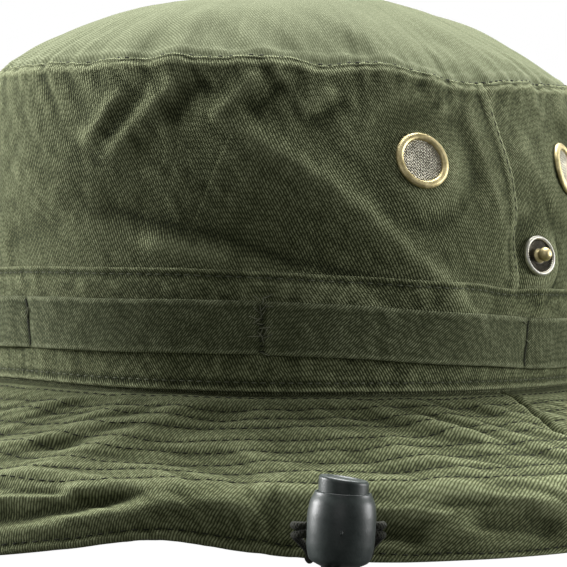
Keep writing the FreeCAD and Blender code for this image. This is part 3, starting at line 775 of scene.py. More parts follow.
def moulded_plastic(name, dark, light):
    """Satin moulded plastic with faint flow marks and handling scuffs."""
    f = Finish(name)
    place = f.place()
    grain, scuff = f.noise(place, 1800.0, 2.0, 0.6), f.noise(place, 300.0, 5.0, 0.7)
    f.ramp(f.mix((scuff, 0.7), (grain, 0.3)), (0.35, dark), (0.7, light))
    f.link(f.mix(0.30, (scuff, 0.25)), f.surface.inputs["Roughness"])
    f.bump(grain, 0.05 * MM, 0.5)
    f.feel(Specular_IOR_Level=0.45)
    return f.material


def braid(name, dark, light, pitch_length):
    """Round braid: two sets of strands crossing round the cord."""
    f = Finish(name)
    uv = f.node("TexCoord").outputs["UV"]
    split = f.node("SeparateXYZ")
    f.link(uv, split.inputs[0])
    run = f.math("MULTIPLY", split.outputs["X"], pitch_length)
    turn = f.math("MULTIPLY", split.outputs["Y"], 4.0)
    one, two = f.wave(f.math("ADD", run, turn)), f.wave(f.math("SUBTRACT", run, turn))
    weave = f.math("MAXIMUM", f.math("POWER", one, 1.5), f.math("POWER", two, 1.5))
    fibre = f.noise(f.place(), 2400.0, 2.0)
    f.ramp(f.mix((weave, 0.7), (fibre, 0.3)), (0.25, dark), (0.95, light))
    f.bump(f.mix(weave, (fibre, 0.3)), 0.2 * MM, 0.8)
    f.feel(Roughness=0.8, Specular_IOR_Level=0.15, Sheen_Weight=0.04)
    return f.material


TWILL = twill("olive twill", (0.014, 0.018, 0.007), (0.108, 0.121, 0.058), (0.38, 0.41, 0.24))
BRIM_TWILL = twill("olive twill brim", (0.022, 0.027, 0.010), (0.108, 0.121, 0.056), (0.30, 0.33, 0.185),
                   wale=0.78, float_length=2.4)
TAPE = twill("loop tape", (0.030, 0.036, 0.016), (0.082, 0.093, 0.047), (0.31, 0.335, 0.205),
             wale=0.6, float_length=2.2, relief=0.14, sheen=0.05)
TIP_TWILL = twill("olive twill top", (0.062, 0.072, 0.034), (0.110, 0.123, 0.064), (0.21, 0.23, 0.14), relief=0.06)
LINING = plain_weave("lining cloth", (0.10, 0.11, 0.07), (0.22, 0.235, 0.16), 0.55)
CANVAS = plain_weave("interlining", (0.34, 0.33, 0.28), (0.58, 0.57, 0.50), 0.7)
THREAD = thread_finish("sewing thread", (0.050, 0.056, 0.032), (0.17, 0.185, 0.12))
FRAYED = thread_finish("frayed thread", (0.10, 0.11, 0.07), (0.27, 0.28, 0.19))
# Near-black thread: the thread's own colour darkened with painted shade of stitches sunk into the cloth.
SHADED_THREAD = thread_finish("quilting thread with painted shade", (0.008, 0.010, 0.005), (0.034, 0.038, 0.020))
BRASS = metal("pale brass", (0.40, 0.33, 0.15), (0.82, 0.72, 0.42), 0.50)
DARK_BRASS = metal("dull brass", (0.22, 0.18, 0.11), (0.50, 0.43, 0.28), 0.42)
WIRE = metal("vent wire", (0.34, 0.32, 0.25), (0.80, 0.77, 0.65), 0.45)
STEEL = metal("spring steel", (0.40, 0.40, 0.40), (0.70, 0.70, 0.70), 0.25)
PLASTIC = moulded_plastic("lock plastic", (0.016, 0.023, 0.021), (0.040, 0.052, 0.047))
STEEL_BRASS = metal("snap rim", (0.52, 0.50, 0.43), (0.92, 0.90, 0.82), 0.38)
DISH_METAL = metal("snap dish", (0.030, 0.028, 0.022), (0.13, 0.12, 0.095), 0.42)
BRAID = braid("chin cord braid", (0.004, 0.005, 0.003), (0.022, 0.023, 0.014), 190.0)
KNOT_BRAID = thread_finish("knotted braid", (0.004, 0.005, 0.003), (0.022, 0.023, 0.014))


# =====================================================================================
# Camera, lights, floor
# =====================================================================================
def direction(azimuth, elevation):
    """Unit vector from the middle of the hat towards an azimuth and an elevation in degrees."""
    a, e = math.radians(azimuth), math.radians(elevation)
    return Vector((math.sin(a) * math.cos(e), -math.cos(a) * math.cos(e), math.sin(e)))


VIEW = Vector((math.sin(VIEW_AZIMUTH), -math.cos(VIEW_AZIMUTH), 0))
CAMERA_DISTANCE, CAMERA_HEIGHT = 0.697, 0.073
lens = bpy.data.cameras.new("camera")
lens.lens, lens.sensor_width = 136.06, 36.0
lens.dof.use_dof = False
camera = bpy.data.objects.new("camera", lens)
camera.location = VIEW * CAMERA_DISTANCE + Vector((0, 0, CAMERA_HEIGHT))
camera.rotation_euler = (math.pi / 2, 0, VIEW_AZIMUTH)
bpy.context.scene.collection.objects.link(camera)
bpy.context.scene.camera = camera


def soft_light(name, azimuth, elevation, distance, size, power):
    light = bpy.data.lights.new(name, "AREA")
    light.shape, light.size, light.energy = "DISK", size, power
    lamp = bpy.data.objects.new(name, light)
    lamp.location = direction(azimuth, elevation) * distance + Vector((0, 0, 0.07))
    lamp.rotation_euler = (-direction(azimuth, elevation)).to_track_quat("-Z", "Y").to_euler()
    bpy.context.scene.collection.objects.link(lamp)


soft_light("back softbox", 214, 62, 1.3, 0.9, 45)
soft_light("top softbox", 218, 78, 1.2, 0.7, 22)
soft_light("left softbox", -58, 12, 1.4, 0.6, 36)
soft_light("right softbox", 138, 4, 1.4, 0.6, 20)
soft_light("front fill", 36, 16, 1.6, 1.0, 3.0)
world = bpy.data.worlds.new("studio")
world.use_nodes = True
bpy.context.scene.world = world
sky = world.node_tree
sky.nodes.clear()
seen, lit = sky.nodes.new("ShaderNodeBackground"), sky.nodes.new("ShaderNodeBackground")
seen.inputs["Color"].default_value, seen.inputs["Strength"].default_value = (1, 1, 1, 1), 1.0
lit.inputs["Color"].default_value, lit.inputs["Strength"].default_value = (1, 1, 1, 1), 0.14
path_kind, either = sky.nodes.new("ShaderNodeLightPath"), sky.nodes.new("ShaderNodeMixShader")
sky_out = sky.nodes.new("ShaderNodeOutputWorld")
sky.links.new(path_kind.outputs["Is Camera Ray"], either.inputs[0])
sky.links.new(lit.outputs[0], either.inputs[1])
sky.links.new(seen.outputs[0], either.inputs[2])
sky.links.new(either.outputs[0], sky_out.inputs["Surface"])
bpy.context.scene.view_settings.view_transform = "Standard"

paper = Finish("white paper")
paper.ramp(paper.noise(paper.place(), 30.0, 3.0), (0.0, (0.93, 0.93, 0.93)), (1.0, (0.95, 0.95, 0.95)))
paper.feel(Roughness=0.9, Specular_IOR_Level=0.1, Emission_Strength=1.0)
FLOOR_SIZE, FLOOR_Z = 4000.0, -0.3
floor_corners = [(x * FLOOR_SIZE, y * FLOOR_SIZE, FLOOR_Z) for x, y in ((-1, -1), (1, -1), (1, 1), (-1, 1))]
floor_object = make_object("floor", floor_corners, [(0, 1, 2, 3)], material=paper.material)
floor_object.visible_diffuse = floor_object.visible_glossy = False


# =====================================================================================
# Chin cord: two limp strands from tabs inside the crown, under the brim and through the lock
# =====================================================================================
LOCK_AZIMUTH, LOCK_OUT, LOCK_ASIDE = 44.5, 165.0, 13.7
CORD_D, CORD_FLOOR = 2.0, 1.1
STRAND_Z = (10.7, 12.9)
TAB_X, TAB_FOOT = 86.7, 30.0
UP = np.array((0.0, 0.0, 1.0))
OUTWARD = np.array(direction(LOCK_AZIMUTH, 0))
ASIDE = np.array(direction(LOCK_AZIMUTH + 90, 0))


def at_lock(along, out, up=CORD_FLOOR):
    """A point in the cord lock's own frame, in millimetres, on the floor unless a height is given."""
    return tuple(OUTWARD * (LOCK_OUT + out) + ASIDE * (LOCK_ASIDE + along) + UP * up)


def on_floor(*places):
    return [(x, y, CORD_FLOOR) for x, y in places]


def by_lock(*places):
    return [at_lock(*place) for place in places]


EYE = (-11.2, -4, 4, 11.2)     # places along the lock's eye that both strands go through
LEFT_ROUTE = [
    (-TAB_X, 0, TAB_FOOT), (-TAB_X, 0, 20), (-83, 4, 8),
    *on_floor((-74, 9), (-51, 20), (-26, 15), (-9, -8), (6, -34)),
    *by_lock((-28, -106), (-15, -88), (-7, -73), (-6, -56), (-7, -42), (-7.4, -31),
             (-6.8, -20, 1.4), (-7.2, -12.8, 5.2), (-10.8, -6.8, 9.6)),
    *by_lock(*((along, 0, STRAND_Z[0]) for along in EYE)),
    *by_lock((10.8, -6.8, 9.6), (7.2, -12.8, 4.6), (6.2, -18), (2.2, -19.5), (-0.75, -14),
             (-0.3, -3), (-1.0, 12), (-1.0, 22)),
]
RIGHT_ROUTE = [
    (TAB_X, 0, TAB_FOOT), (TAB_X, 0, 20), (83, 5, 8),
    *on_floor((74, 12), (52, 30), (26, 34), (9, 18), (16, -7), (37, -22), (57, -38)),
    *by_lock((4, -76), (3, -56), (1, -41), (-1.5, -31, 2.0),
             (-3.2, -21, 5.0), (-7.4, -13.2, 9.2), (-11.0, -7.2, 12.4)),
    *by_lock(*((along, 0, STRAND_Z[1]) for along in EYE)),
    *by_lock((11.0, -7.2, 12.4), (8.6, -14.2, 7.6), (8.6, -21.5, 1.8), (5, -25.5), (0.5, -24.5),
             (-3.4, -17), (-3.0, -4), (-3.4, 11), (-3.4, 22)),
]


def strand(name, route, node):
    curve = bpy.data.curves.new(name, "CURVE")
    curve.dimensions = "3D"
    spline = curve.splines.new("NURBS")
    spline.points.add(len(route) - 1)
    for point, place in zip(spline.points, route):
        point.co = (*(Vector(place) * MM), 1.0)
    spline.order_u = 3
    spline.use_endpoint_u = True
    spline.resolution_u = 16
    curve.bevel_depth = CORD_D / 2 * MM
    curve.bevel_resolution = 6
    curve.use_fill_caps = True
    curve.materials.append(BRAID)
    obj = bpy.data.objects.new(name, curve)
    bpy.context.scene.collection.objects.link(obj)
    return linked(obj, "hat", "cord", node)


left_strand = strand("chin_cord_left_strand", LEFT_ROUTE, "chin_cord_left")
right_strand = strand("chin_cord_right_strand", RIGHT_ROUTE, "chin_cord_right")


# =====================================================================================
# Cloth pieces
# =====================================================================================
def slanted(uv, degrees):
    """Cloth coordinates turned so that the twill's wales run at an angle to the seam."""
    a = math.radians(degrees)
    x, y = uv[..., 0], uv[..., 1]
    return np.stack([x * math.cos(a) + y * math.sin(a), -x * math.sin(a) + y * math.cos(a)], -1)


def blurred(values, rounds, closed):
    for _ in range(rounds):
        if closed:
            values = (np.roll(values, 1, 0) + 2 * values + np.roll(values, -1, 0)) / 4
        else:
            wide = np.concatenate([values[:1], values, values[-1:]])
            values = (wide[:-2] + 2 * wide[1:-1] + wide[2:]) / 4
        wide = np.concatenate([values[:, :1], values, values[:, -1:]], 1)
        values = (wide[:, :-2] + 2 * wide[:, 1:-1] + wide[:, 2:]) / 4
    return values


def crest_wear_and_shade(points, closed, gain=1.7):
    """How far each point stands out from its neighbourhood: worn crests near 1, creases near -1, where it darkens
    the cloth as painted shade.
    """
    normal = grid_normals(points, closed)
    broad = np.sum((points - blurred(points, 14, closed)) * normal, -1)
    fine = np.sum((points - blurred(points, 3, closed)) * normal, -1)
    return np.clip(gain * (broad + 2.5 * fine), -1, 1)


def run(low, high, step):
    """Even turns between two azimuths in radians, about `step` millimetres apart round the crown."""
    return np.linspace(low, high, max(8, int(round((high - low) * CROWN_MID_R / step))))


def edged(low, high, step, radius=0.5):
    """Even steps with closer ones at both ends, for a rounded cloth edge."""
    fine = np.array([0.0, 0.12, 0.3, 0.6]) * radius * 2
    middle = np.linspace(low + 2 * radius, high - 2 * radius, max(3, int(round((high - low) / step))))
    return np.concatenate([low + fine, middle, (high - fine)[::-1]])


def round_over(values, radius=0.45):
    """How far a rounded edge falls back at each step of a strip."""
    x = np.clip(radius - np.minimum(values - values[0], values[-1] - values), 0, radius)
    return radius - np.sqrt(radius ** 2 - x ** 2)


def strip(name, surface, t, z, thick, slant, material, slot, closed=False, holes=()):
    """A strip of cloth on a surface function of azimuth and height, in place of the CAD node of its name."""
    T, Z = np.meshgrid(t, z, indexing="ij")
    outer = surface(T, Z, -round_over(z)[None, :] + 0 * T)
    uv = slanted(np.stack([T * CROWN_MID_R, Z], -1), slant)
    obj = shell(name, outer, thick, uv, closed, material, crest_wear_and_shade(outer, closed), holes)
    return linked(obj, "hat", slot, name)


TACK_ANGLES = [-47.4, -1.2, 46.9, 94.5, 143.5, -167.5, -118.5]     # view angles of the loop band's tacks
RAGGED_TACK = 1


def front_panel(t, z, offset=0.0):
    return crown_point(t, z, offset, lap=True)


def back_panel(t, z, offset=0.0):
    return crown_point(t, z, offset - 0.15)


def band_surface(t, z, offset=0.0):
    """Crown band: its top edge is turned under and stitched down."""
    angle, u = view_angle(t), around_mm(t)
    up = smooth(z, SEAM_Z, 62)
    rise = seam_lift(angle) * (1 - up) + up * (band_lift(angle) + 0.35 * noise(u, z * 0, 14, 50, AROUND, 22))
    pucker = 0.28 * noise(u, z, 5.5, 40, AROUND, 21) + 0.12 * noise(u, z, 2.4, 3, AROUND, 23)
    hem = 0.15 * bell(z, BAND_TOP_Z - 0.6, 0.7) - 0.28 * bell(z, BAND_ROW, 0.8)
    foot = 0.55 * bell(z, BAND_FOOT_Z + 0.7, 1.0) - 0.25 * bell(z, FOOT_ROW, 0.8)
    return crown_point(t, z, BAND_OUT + pucker + hem + foot + offset, rise=rise)


def loop_surface(t, z, offset=0.0):
    """Loop band: stands off between its tacks and is pinched at each."""
    angle, u = view_angle(t), around_mm(t)
    near = np.full(np.shape(angle), 1e9)
    for tack in TACK_ANGLES:
        near = np.minimum(near, arc_mm(np.abs((angle - tack + 180) % 360 - 180)))
    puff = 0.85 * smooth(near, 1.0, 12) - 0.45 * bell(near, 0, 1.4)
    roll = 0.18 * np.cos((z - LOOP_Z[0]) / (LOOP_Z[1] - LOOP_Z[0]) * 2 * math.pi) * smooth(near, 3, 14)
    selvedge = 0.22 * (bell(z, LOOP_Z[0] + 1.0, 0.7) + bell(z, LOOP_Z[1] - 1.0, 0.7))
    small = 0.14 * noise(u, z, 7, 6, AROUND, 32)
    rise = band_lift(angle) + 0.3 * noise(u, z * 0, 22, 50, AROUND, 31)
    return crown_point(t, z, LOOP_OUT + puff + roll + selvedge + small + offset, rise=rise)


FULL = np.linspace(-math.pi, math.pi, 760, endpoint=False)
PANEL_ROWS = edged(SEAM_Z - 1.5, TIP_Z + 0.6, 0.8)
VENTS = {name: on_cloth(*disc[:2]) for name, disc in DISCS.items() if name.startswith("vent")}
VENT_HOLES = [(place, 6.9) for place, _ in VENTS.values()]
strip("crown_panel_front", front_panel, run(-QUARTER - 0.005, QUARTER + 0.005, 0.74), PANEL_ROWS,
      0.8, 25, TWILL, "olive_twill", holes=VENT_HOLES)
strip("crown_panel_back", back_panel, run(QUARTER - 0.047, 3 * QUARTER + 0.047, 0.85), PANEL_ROWS,
      0.8, 17, TWILL, "olive_twill", holes=VENT_HOLES)
strip("crown_band", band_surface, FULL, edged(BAND_FOOT_Z, BAND_TOP_Z, 0.8), 0.9, 30, TWILL,
      "olive_twill", closed=True)
strip("loop_band", loop_surface, FULL, edged(*LOOP_Z, 0.7), 1.0, -38, TAPE, "webbing", closed=True)


# ---- crown tip ----
TIP_THICK = 0.8


def dome():
    """The crown's top cloth, closed in the middle by fans."""
    inward = np.concatenate([[-0.35, -0.2, 0.0, 0.3], np.linspace(0.8, TIP_R - 0.6, 118)])
    T, I = np.meshgrid(FULL, inward, indexing="ij")
    outer = tip_point(T, np.clip(I, 0, None))
    outer[..., 2] -= 1.8 * np.clip(-I, 0, None)
    uv = slanted(outer[..., :2], 66).reshape(-1, 2)
    inner = outer - grid_normals(outer, True) * TIP_THICK
    nu, nv = outer.shape[:2]
    center = np.mean(outer[:, -1], 0)
    verts = np.concatenate([outer.reshape(-1, 3), inner.reshape(-1, 3), [center, center - (0, 0, TIP_THICK)]])
    front, back, rims = grid_faces(nu, nv, True)
    high, top = rims[1].tolist(), 2 * nu * nv
    caps = [(p, q, top) for p, q, _, _ in high] + [(q, p, top + 1) for _, _, q, p in high]
    wear_and_crease_shade = crest_wear_and_shade(outer, True, gain=1.3).ravel()
    obj = make_object("crown_tip", verts, np.concatenate([front, back, rims[0]]).tolist() + caps,
                      np.concatenate([uv, uv, uv[-1:], uv[-1:]]),
                      np.concatenate([wear_and_crease_shade, wear_and_crease_shade, [0, 0]]), TIP_TWILL)
    return linked(obj, "hat", "olive_twill", "crown_tip")


dome()


# ---- inside the crown ----
def lining_strip(name, t, z, offset, thick, closed=False):
    """Lining tape or sweatband on the inside of the crown."""
    def surface(a, b, drop=0.0):
        ripple = 0.2 * noise(around_mm(a), b, 9, 20, AROUND, 41)
        return crown_point(a, b, offset + ripple + drop)
    return strip(name, surface, t, z, thick, 0, LINING, "lining_cloth", closed)


lining_strip("sweatband", FULL, edged(SEAM_Z - 0.5, 75.0, 1.4), -1.7, 1.0, closed=True)
for side, middle in (("right", QUARTER), ("left", -QUARTER)):
    across = run(middle - 0.11, middle + 0.026, 0.9)
    lining_strip("side_seam_binding_" + side, across, edged(76.5, 127.5, 1.2), -1.3, 0.7)


def tip_binding():
    """Tape over the raw edges of the tip seam, inside."""
    T, drop = np.meshgrid(FULL, np.linspace(10.5, 2.5, 12), indexing="ij")
    rim = tip_height(view_angle(T))
    ripple = 0.35 * noise(around_mm(T), drop, 8, 12, AROUND, 45)
    outer = oval(T, crown_r(TIP_Z) - 3.6 + crown_push(T, rim) * 0.6 + ripple, rim - drop)
    obj = shell("tip_seam_binding", outer, 0.8, np.stack([T * 90.0, drop], -1), True, LINING, 0 * T)
    return linked(obj, "hat", "lining_cloth", "tip_seam_binding")


tip_binding()


# ---- brim ----
EDGE_TURN = 1.3
SIDES = {"right": (0.0, math.pi), "left": (-math.pi, 0.0)}


def cone_uv(t, s):
    """Flat cutting coordinates of the brim, two half rings joined at the side seams."""
    middle = np.where(np.abs(t) < QUARTER, 0.0, np.sign(t) * math.pi)
    turn = (t - middle) * math.cos(BRIM_SLOPE)
    reach = BRIM_ROOT[0] / math.cos(BRIM_SLOPE) + s
    return np.stack([reach * np.sin(turn), reach * np.cos(turn)], -1)


def bent(obj, side, slot, *nodes):
    """A brim piece, with the CAD nodes it stands for hidden and its transform baked into the mesh; its side is not
    used.
    """
    finish_piece(obj, slot, *nodes)
    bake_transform(obj)
    return obj


def brim_nodes(side, layer):
    """The CAD nodes of one layer of the brim that a piece on one side stands for."""
    return f"brim_{layer}_front", f"brim_{layer}_back", f"brim_flap_{side}_{layer}"


def brim_layer(side, layer, step, slant):
    """The upper or lower cloth of the brim on one side, rounding over the hem to the middle."""
    arc = np.linspace(0, 1, 6)[:-1] * math.pi / 2
    flat = np.linspace(BRIM_LENGTH - EDGE_TURN, -0.6, int(BRIM_LENGTH / step))
    s = np.concatenate([BRIM_LENGTH - EDGE_TURN + EDGE_TURN * np.cos(arc), flat])
    share = np.concatenate([np.sin(arc), np.ones(len(flat))])
    T, S = np.meshgrid(np.linspace(*SIDES[side], int(math.pi * BRIM_MID_R / step)), s, indexing="ij")
    reach = EDGE_TURN if layer == "upper" else -EDGE_TURN
    outer = brim_point(T, S, reach * share[None, :] + 0 * T)
    uv = slanted(cone_uv(T, S), slant)
    if layer == "lower":
        outer, uv = outer[:, ::-1], uv[:, ::-1]
    wear_and_crease_shade = crest_wear_and_shade(outer, False, 1.4)
    obj = shell(f"brim_{layer}_{side}", outer, 0.85, uv, False, BRIM_TWILL, wear_and_crease_shade)
    return bent(obj, side, "olive_twill", *brim_nodes(side, layer))


def brim_interlining(side):
    T, S = np.meshgrid(np.linspace(*SIDES[side], 300), np.linspace(BRIM_LENGTH - 2.5, 1.0, 60), indexing="ij")
    outer = brim_point(T, S, 0.2 + 0 * T)
    obj = shell("brim_interlining_" + side, outer, 0.4, cone_uv(T, S), False, CANVAS, 0 * T)
    return bent(obj, side, "interlining", *brim_nodes(side, "interlining"))


for side in SIDES:
    brim_layer(side, "upper", 0.78, -11.5)
    brim_layer(side, "lower", 0.9, 30)
    brim_interlining(side)


# ---- stitches ----
STITCH_SECTION = 6     # points round a stitch
STITCH_STATIONS = np.array([-0.5, -0.42, -0.2, 0.2, 0.42, 0.5])


def threads(starts, ends, normals, radius=0.24, sink=0.3):
    """Short threads from start to end points, dipping into the cloth at both ends."""
    along = ends - starts
    length = np.linalg.norm(along, axis=1, keepdims=True)
    along = along / length
    across = np.cross(along, normals)
    across /= np.linalg.norm(across, axis=1, keepdims=True)
    up = np.cross(across, along)
    count, sections = len(starts), len(STITCH_STATIONS)
    verts = np.zeros((count, sections, STITCH_SECTION, 3))
    for k, place in enumerate(STITCH_STATIONS):
        dip = (abs(place) / 0.5) ** 3
        middle = (starts + ends) / 2 + along * (place * length) + up * (radius * 0.4 - sink * dip)
        for j in range(STITCH_SECTION):
            a = 2 * math.pi * j / STITCH_SECTION
            verts[:, k, j] = middle + radius * (1 - 0.55 * dip) * (math.cos(a) * across + math.sin(a) * up)
    base = np.arange(count)[:, None] * sections * STITCH_SECTION
    faces = []
    for k in range(sections - 1):
        for j in range(STITCH_SECTION):
            a, b, i = k * STITCH_SECTION, (k + 1) * STITCH_SECTION, (j + 1) % STITCH_SECTION
            faces.append(base + np.array([a + j, a + i, b + i, b + j]))
    first = base + np.arange(STITCH_SECTION)[::-1]
    last = base + (sections - 1) * STITCH_SECTION + np.arange(STITCH_SECTION)
    return verts.reshape(-1, 3), np.concatenate(faces).tolist() + first.tolist() + last.tolist()


def seam_row(surface, t, v, pitch, seed, gap=0.8, **how):
    """A row of stitches along a line of (t, v) parameters on a surface function."""
    points = surface(t, v)
    reach = np.concatenate([[0], np.cumsum(np.linalg.norm(np.diff(points, axis=0), axis=1))])
    count = max(2, int(reach[-1] / pitch) - 1)
    rng = np.random.default_rng(SEED * 100 + seed)
    begin = (np.arange(count) + rng.uniform(-0.06, 0.06, count)) * pitch + 0.4
    end = begin + pitch - gap
    ta, va, tb, vb = (np.interp(x, reach, y) for x in (begin, end) for y in (t, v))
    normals = normal_of(surface, (ta + tb) / 2, (va + vb) / 2)
    across = np.cross(surface(tb, vb) - surface(ta, va), normals)
    across *= rng.uniform(-0.1, 0.1, (count, 1)) / np.linalg.norm(across, axis=1, keepdims=True)
    return threads(surface(ta, va) + across, surface(tb, vb) - across, normals, **how)


def merged(name, rows, material=THREAD):
    """One piece from several (verts, faces) pairs."""
    verts, faces, count = [], [], 0
    for points, polygons in rows:
        verts.append(points)
        faces += [[i + count for i in polygon] for polygon in polygons]
        count += len(points)
    return make_object(name, np.concatenate(verts), faces, material=material)


def brim_top(t, v):
    """The brim's top face; v is the distance down the brim, negated so that outward is up."""
    return brim_point(t, -v, EDGE_TURN + 0 * t)


def brim_under(t, v):
    return brim_point(t, v, -EDGE_TURN + 0 * t)


def level(t, value):
    return np.full(len(t), float(value))


for side, ends in SIDES.items():
    t = np.linspace(*ends, 1300)
    lines = [row + row_sway(t, k) for k, row in enumerate(ROWS)]
    top = [seam_row(brim_top, t, -line, 3.1, 60 + k, radius=0.22) for k, line in enumerate(lines)]
    down = np.linspace(2.5, BRIM_LENGTH - 3, 300)
    across = (1 if side == "right" else -1) * (QUARTER - seam_wander(down) / CROWN_MID_R)
    # Along each side seam, a thick and almost unbroken dark thread: painted shade of the seam's groove.
    top.append(seam_row(brim_top, across, -down, 2.4, 140, gap=0.15, radius=0.6, sink=-0.5))
    under = [seam_row(brim_under, t, line, 3.1, 80 + k, radius=0.22) for k, line in enumerate(lines)]
    bent(merged("brim_stitches_and_seam_shade_top_" + side, top, SHADED_THREAD), side, "olive_twill")
    bent(merged("brim_stitches_under_" + side, under, SHADED_THREAD), side, "olive_twill")

t = np.linspace(-math.pi, math.pi, 2400)
z = np.linspace(76.5, TIP_Z - 4, 400)
tip_row = seam_row(tip_point, t, level(t, TIP_ROW), 2.9, 101, gap=1.1, radius=0.3)
linked(merged("tip_seam_stitches", [tip_row], SHADED_THREAD), "hat", "olive_twill")
rows = [seam_row(band_surface, t, level(t, BAND_ROW), 2.9, 103),
        seam_row(band_surface, t, level(t, FOOT_ROW), 2.6, 104)]
for sign in (1, -1):
    turns = [sign * (QUARTER + past / CROWN_MID_R) for past in LAP_ROWS]
    rows += [seam_row(front_panel, level(z, turn), z, 2.9, 110 + k) for k, turn in enumerate(turns)]
linked(merged("crown_stitches", rows), "hat", "olive_twill")


def tack_rows():
    """Zigzag bar tacks that pin the loop band down, with loose thread ends, most of them at the ragged tack."""
    rng = np.random.default_rng(SEED + 5)
    rows, ends_left = [], []
    for k, angle in enumerate(TACK_ANGLES):
        step, width, loose = (1.5, 0.7, 20) if k == RAGGED_TACK else (0.45, 0.5, 2)
        center = math.radians(angle) + VIEW_AZIMUTH
        z = np.arange(LOOP_Z[0] + 0.9, LOOP_Z[1] - 0.9, step)
        half = width / CROWN_MID_R * rng.uniform(0.6, 1.4, len(z))
        left, right = center - half + rng.uniform(-0.002, 0.002, len(z)), center + half
        starts, ends = loop_surface(left, z), loop_surface(right, z + 0.3)
        rows.append(threads(starts, ends, normal_of(loop_surface, 0 * z + center, z), radius=0.22, sink=0.25))
        a = center + rng.uniform(-0.016, 0.010, loose)
        b = rng.uniform(LOOP_Z[0], LOOP_Z[1] + 1.5, loose)
        reach = rng.uniform(1.5, 4.0, loose)
        turn = rng.uniform(0, 2 * math.pi, loose)
        start = loop_surface(a, b, 0.15)
        end = loop_surface(a + reach * np.cos(turn) / CROWN_MID_R, b + reach * np.sin(turn), 0.45)
        ends_left.append(threads(start, end, normal_of(loop_surface, a, b), radius=0.17, sink=0.1))
    return rows, ends_left


tacks, loose_ends = tack_rows()
linked(merged("loop_band_tacks", tacks, SHADED_THREAD), "hat", "webbing", "loop_band_tacks")
linked(merged("loop_band_loose_ends", loose_ends, FRAYED), "hat", "webbing")


# ---- tabs that hold the chin cord ----
def chin_tab(side, sign):
    """Folded tape: down outside, round the cord's end and up inside."""
    half_thick, tape, low, high = 0.75, 0.35, TAB_FOOT, 46.0
    outline = [(half_thick, high), (half_thick, low + 1.4)]
    outline += [(half_thick * math.cos(a), low + 1.0 - math.sin(a)) for a in np.linspace(0, math.pi, 9)]
    outline += [(-half_thick, low + 1.4), (-half_thick, high)]
    fine = []
    for (ax, az), (bx, bz) in zip(outline, outline[1:]):
        steps = max(1, int(math.hypot(bx - ax, bz - az) / 0.6))
        fine += [(ax + (bx - ax) * k / steps, az + (bz - az) * k / steps) for k in range(steps)]
    fine = np.array(fine + [outline[-1]])
    y = np.linspace(-4.0, 4.0, 17)
    X, Y = np.meshgrid(fine[:, 0], y, indexing="ij")
    Z = np.repeat(fine[:, 1][:, None], len(y), 1)
    bow = 0.25 * np.sin(Z * 0.5) + 0.12 * np.cos(Y * 0.9)
    outer = np.stack([sign * TAB_X + X + bow * 0.6, Y * (1 - 0.05 * smooth(-Z, -34, -30)), Z], -1)
    along = np.concatenate([[0], np.cumsum(np.hypot(*np.diff(fine, axis=0).T))])
    uv = slanted(np.stack([np.repeat(along[:, None], len(y), 1), Y], -1), 45)
    obj = shell("chin_tab_" + side, outer, tape, uv, False, TAPE, 0 * Z)
    return linked(obj, "hat", "webbing", "chin_tab_" + side)


chin_tab("right", 1)
chin_tab("left", -1)


# =====================================================================================
# Vents and snaps
# =====================================================================================
def fitting(name, shape, place, axis, material, body, slot, *nodes):
    """A small piece drawn about +Z, stood at a place along an axis, on a body."""
    verts, faces = shape
    obj = make_object(name, turned_to(verts, place, axis), faces, material=material)
    return linked(obj, body, slot, *nodes)


def woven_wire(radius, pitch=0.66, wire=0.2, sides=5):
    """Wires crossing over and under each other inside a circle."""
    verts, faces = [], []
    lines = np.arange(-int(radius / pitch), int(radius / pitch) + 1)
    for axis in (0, 1):
        for k in lines:
            half = math.sqrt(max(radius ** 2 - (k * pitch) ** 2, 0.3))
            run_on = np.linspace(-half, half, max(4, int(2 * half / pitch * 3)))
            lift = 0.17 * np.cos(run_on / pitch * math.pi + k * math.pi) * (1 if axis else -1)
            start = len(verts)
            for x, h in zip(run_on, lift):
                for j in range(sides):
                    a = 2 * math.pi * j / sides
                    side_step, up_step = k * pitch + wire * math.cos(a), h + wire * math.sin(a)
                    verts.append((x, side_step, up_step) if axis else (side_step, x, up_step))
            for i in range(len(run_on) - 1):
                for j in range(sides):
                    a, b = start + i * sides, start + (i + 1) * sides
                    q = (j + 1) % sides
                    quad = (a + j, b + j, b + q, a + q)
                    faces.append(quad if axis == 0 else quad[::-1])
    return np.array(verts), faces


def spun_by(shape, degrees):
    verts, faces = shape
    a = math.radians(degrees)
    turn = np.array(((math.cos(a), -math.sin(a), 0), (math.sin(a), math.cos(a), 0), (0, 0, 1)))
    return np.asarray(verts) @ turn.T, faces


VENT_RING = rounded([(6.5, -2.4), (6.8, -2.4), (6.8, -0.2), (8.2, -0.2), (8.6, 0.15), (8.5, 0.7), (7.9, 1.2),
                     (7.1, 1.3), (6.5, 1.05), (6.3, 0.6), (6.3, 0.1), (6.5, 0.0), (6.5, -2.4)], 0.2)
VENT_WASHER = rounded([(6.8, -2.1), (8.0, -2.1), (8.05, -1.7), (7.8, -1.5), (6.8, -1.5), (6.8, -2.1)], 0.15)
WIRE_REACH, WIRE_SPIN, WIRE_LIFT = 6.45, 33, 0.12
for name, (place, axis) in VENTS.items():
    ring_name, mesh_name, washer_name = (name + end for end in ("_ring", "_mesh", "_washer"))
    fitting(ring_name, lathe(VENT_RING, 96), place, axis, BRASS, "hat", "brass_fittings", ring_name)
    wires = spun_by(woven_wire(WIRE_REACH), WIRE_SPIN)
    fitting(mesh_name, wires, place + WIRE_LIFT * axis, axis, WIRE, "hat", "vent_wire", mesh_name)
    fitting(washer_name, lathe(VENT_WASHER, 72), place, axis, DARK_BRASS, "hat", "brass_fittings", washer_name)


STUD_SEGMENTS, STUD_RIBS = 264, 44


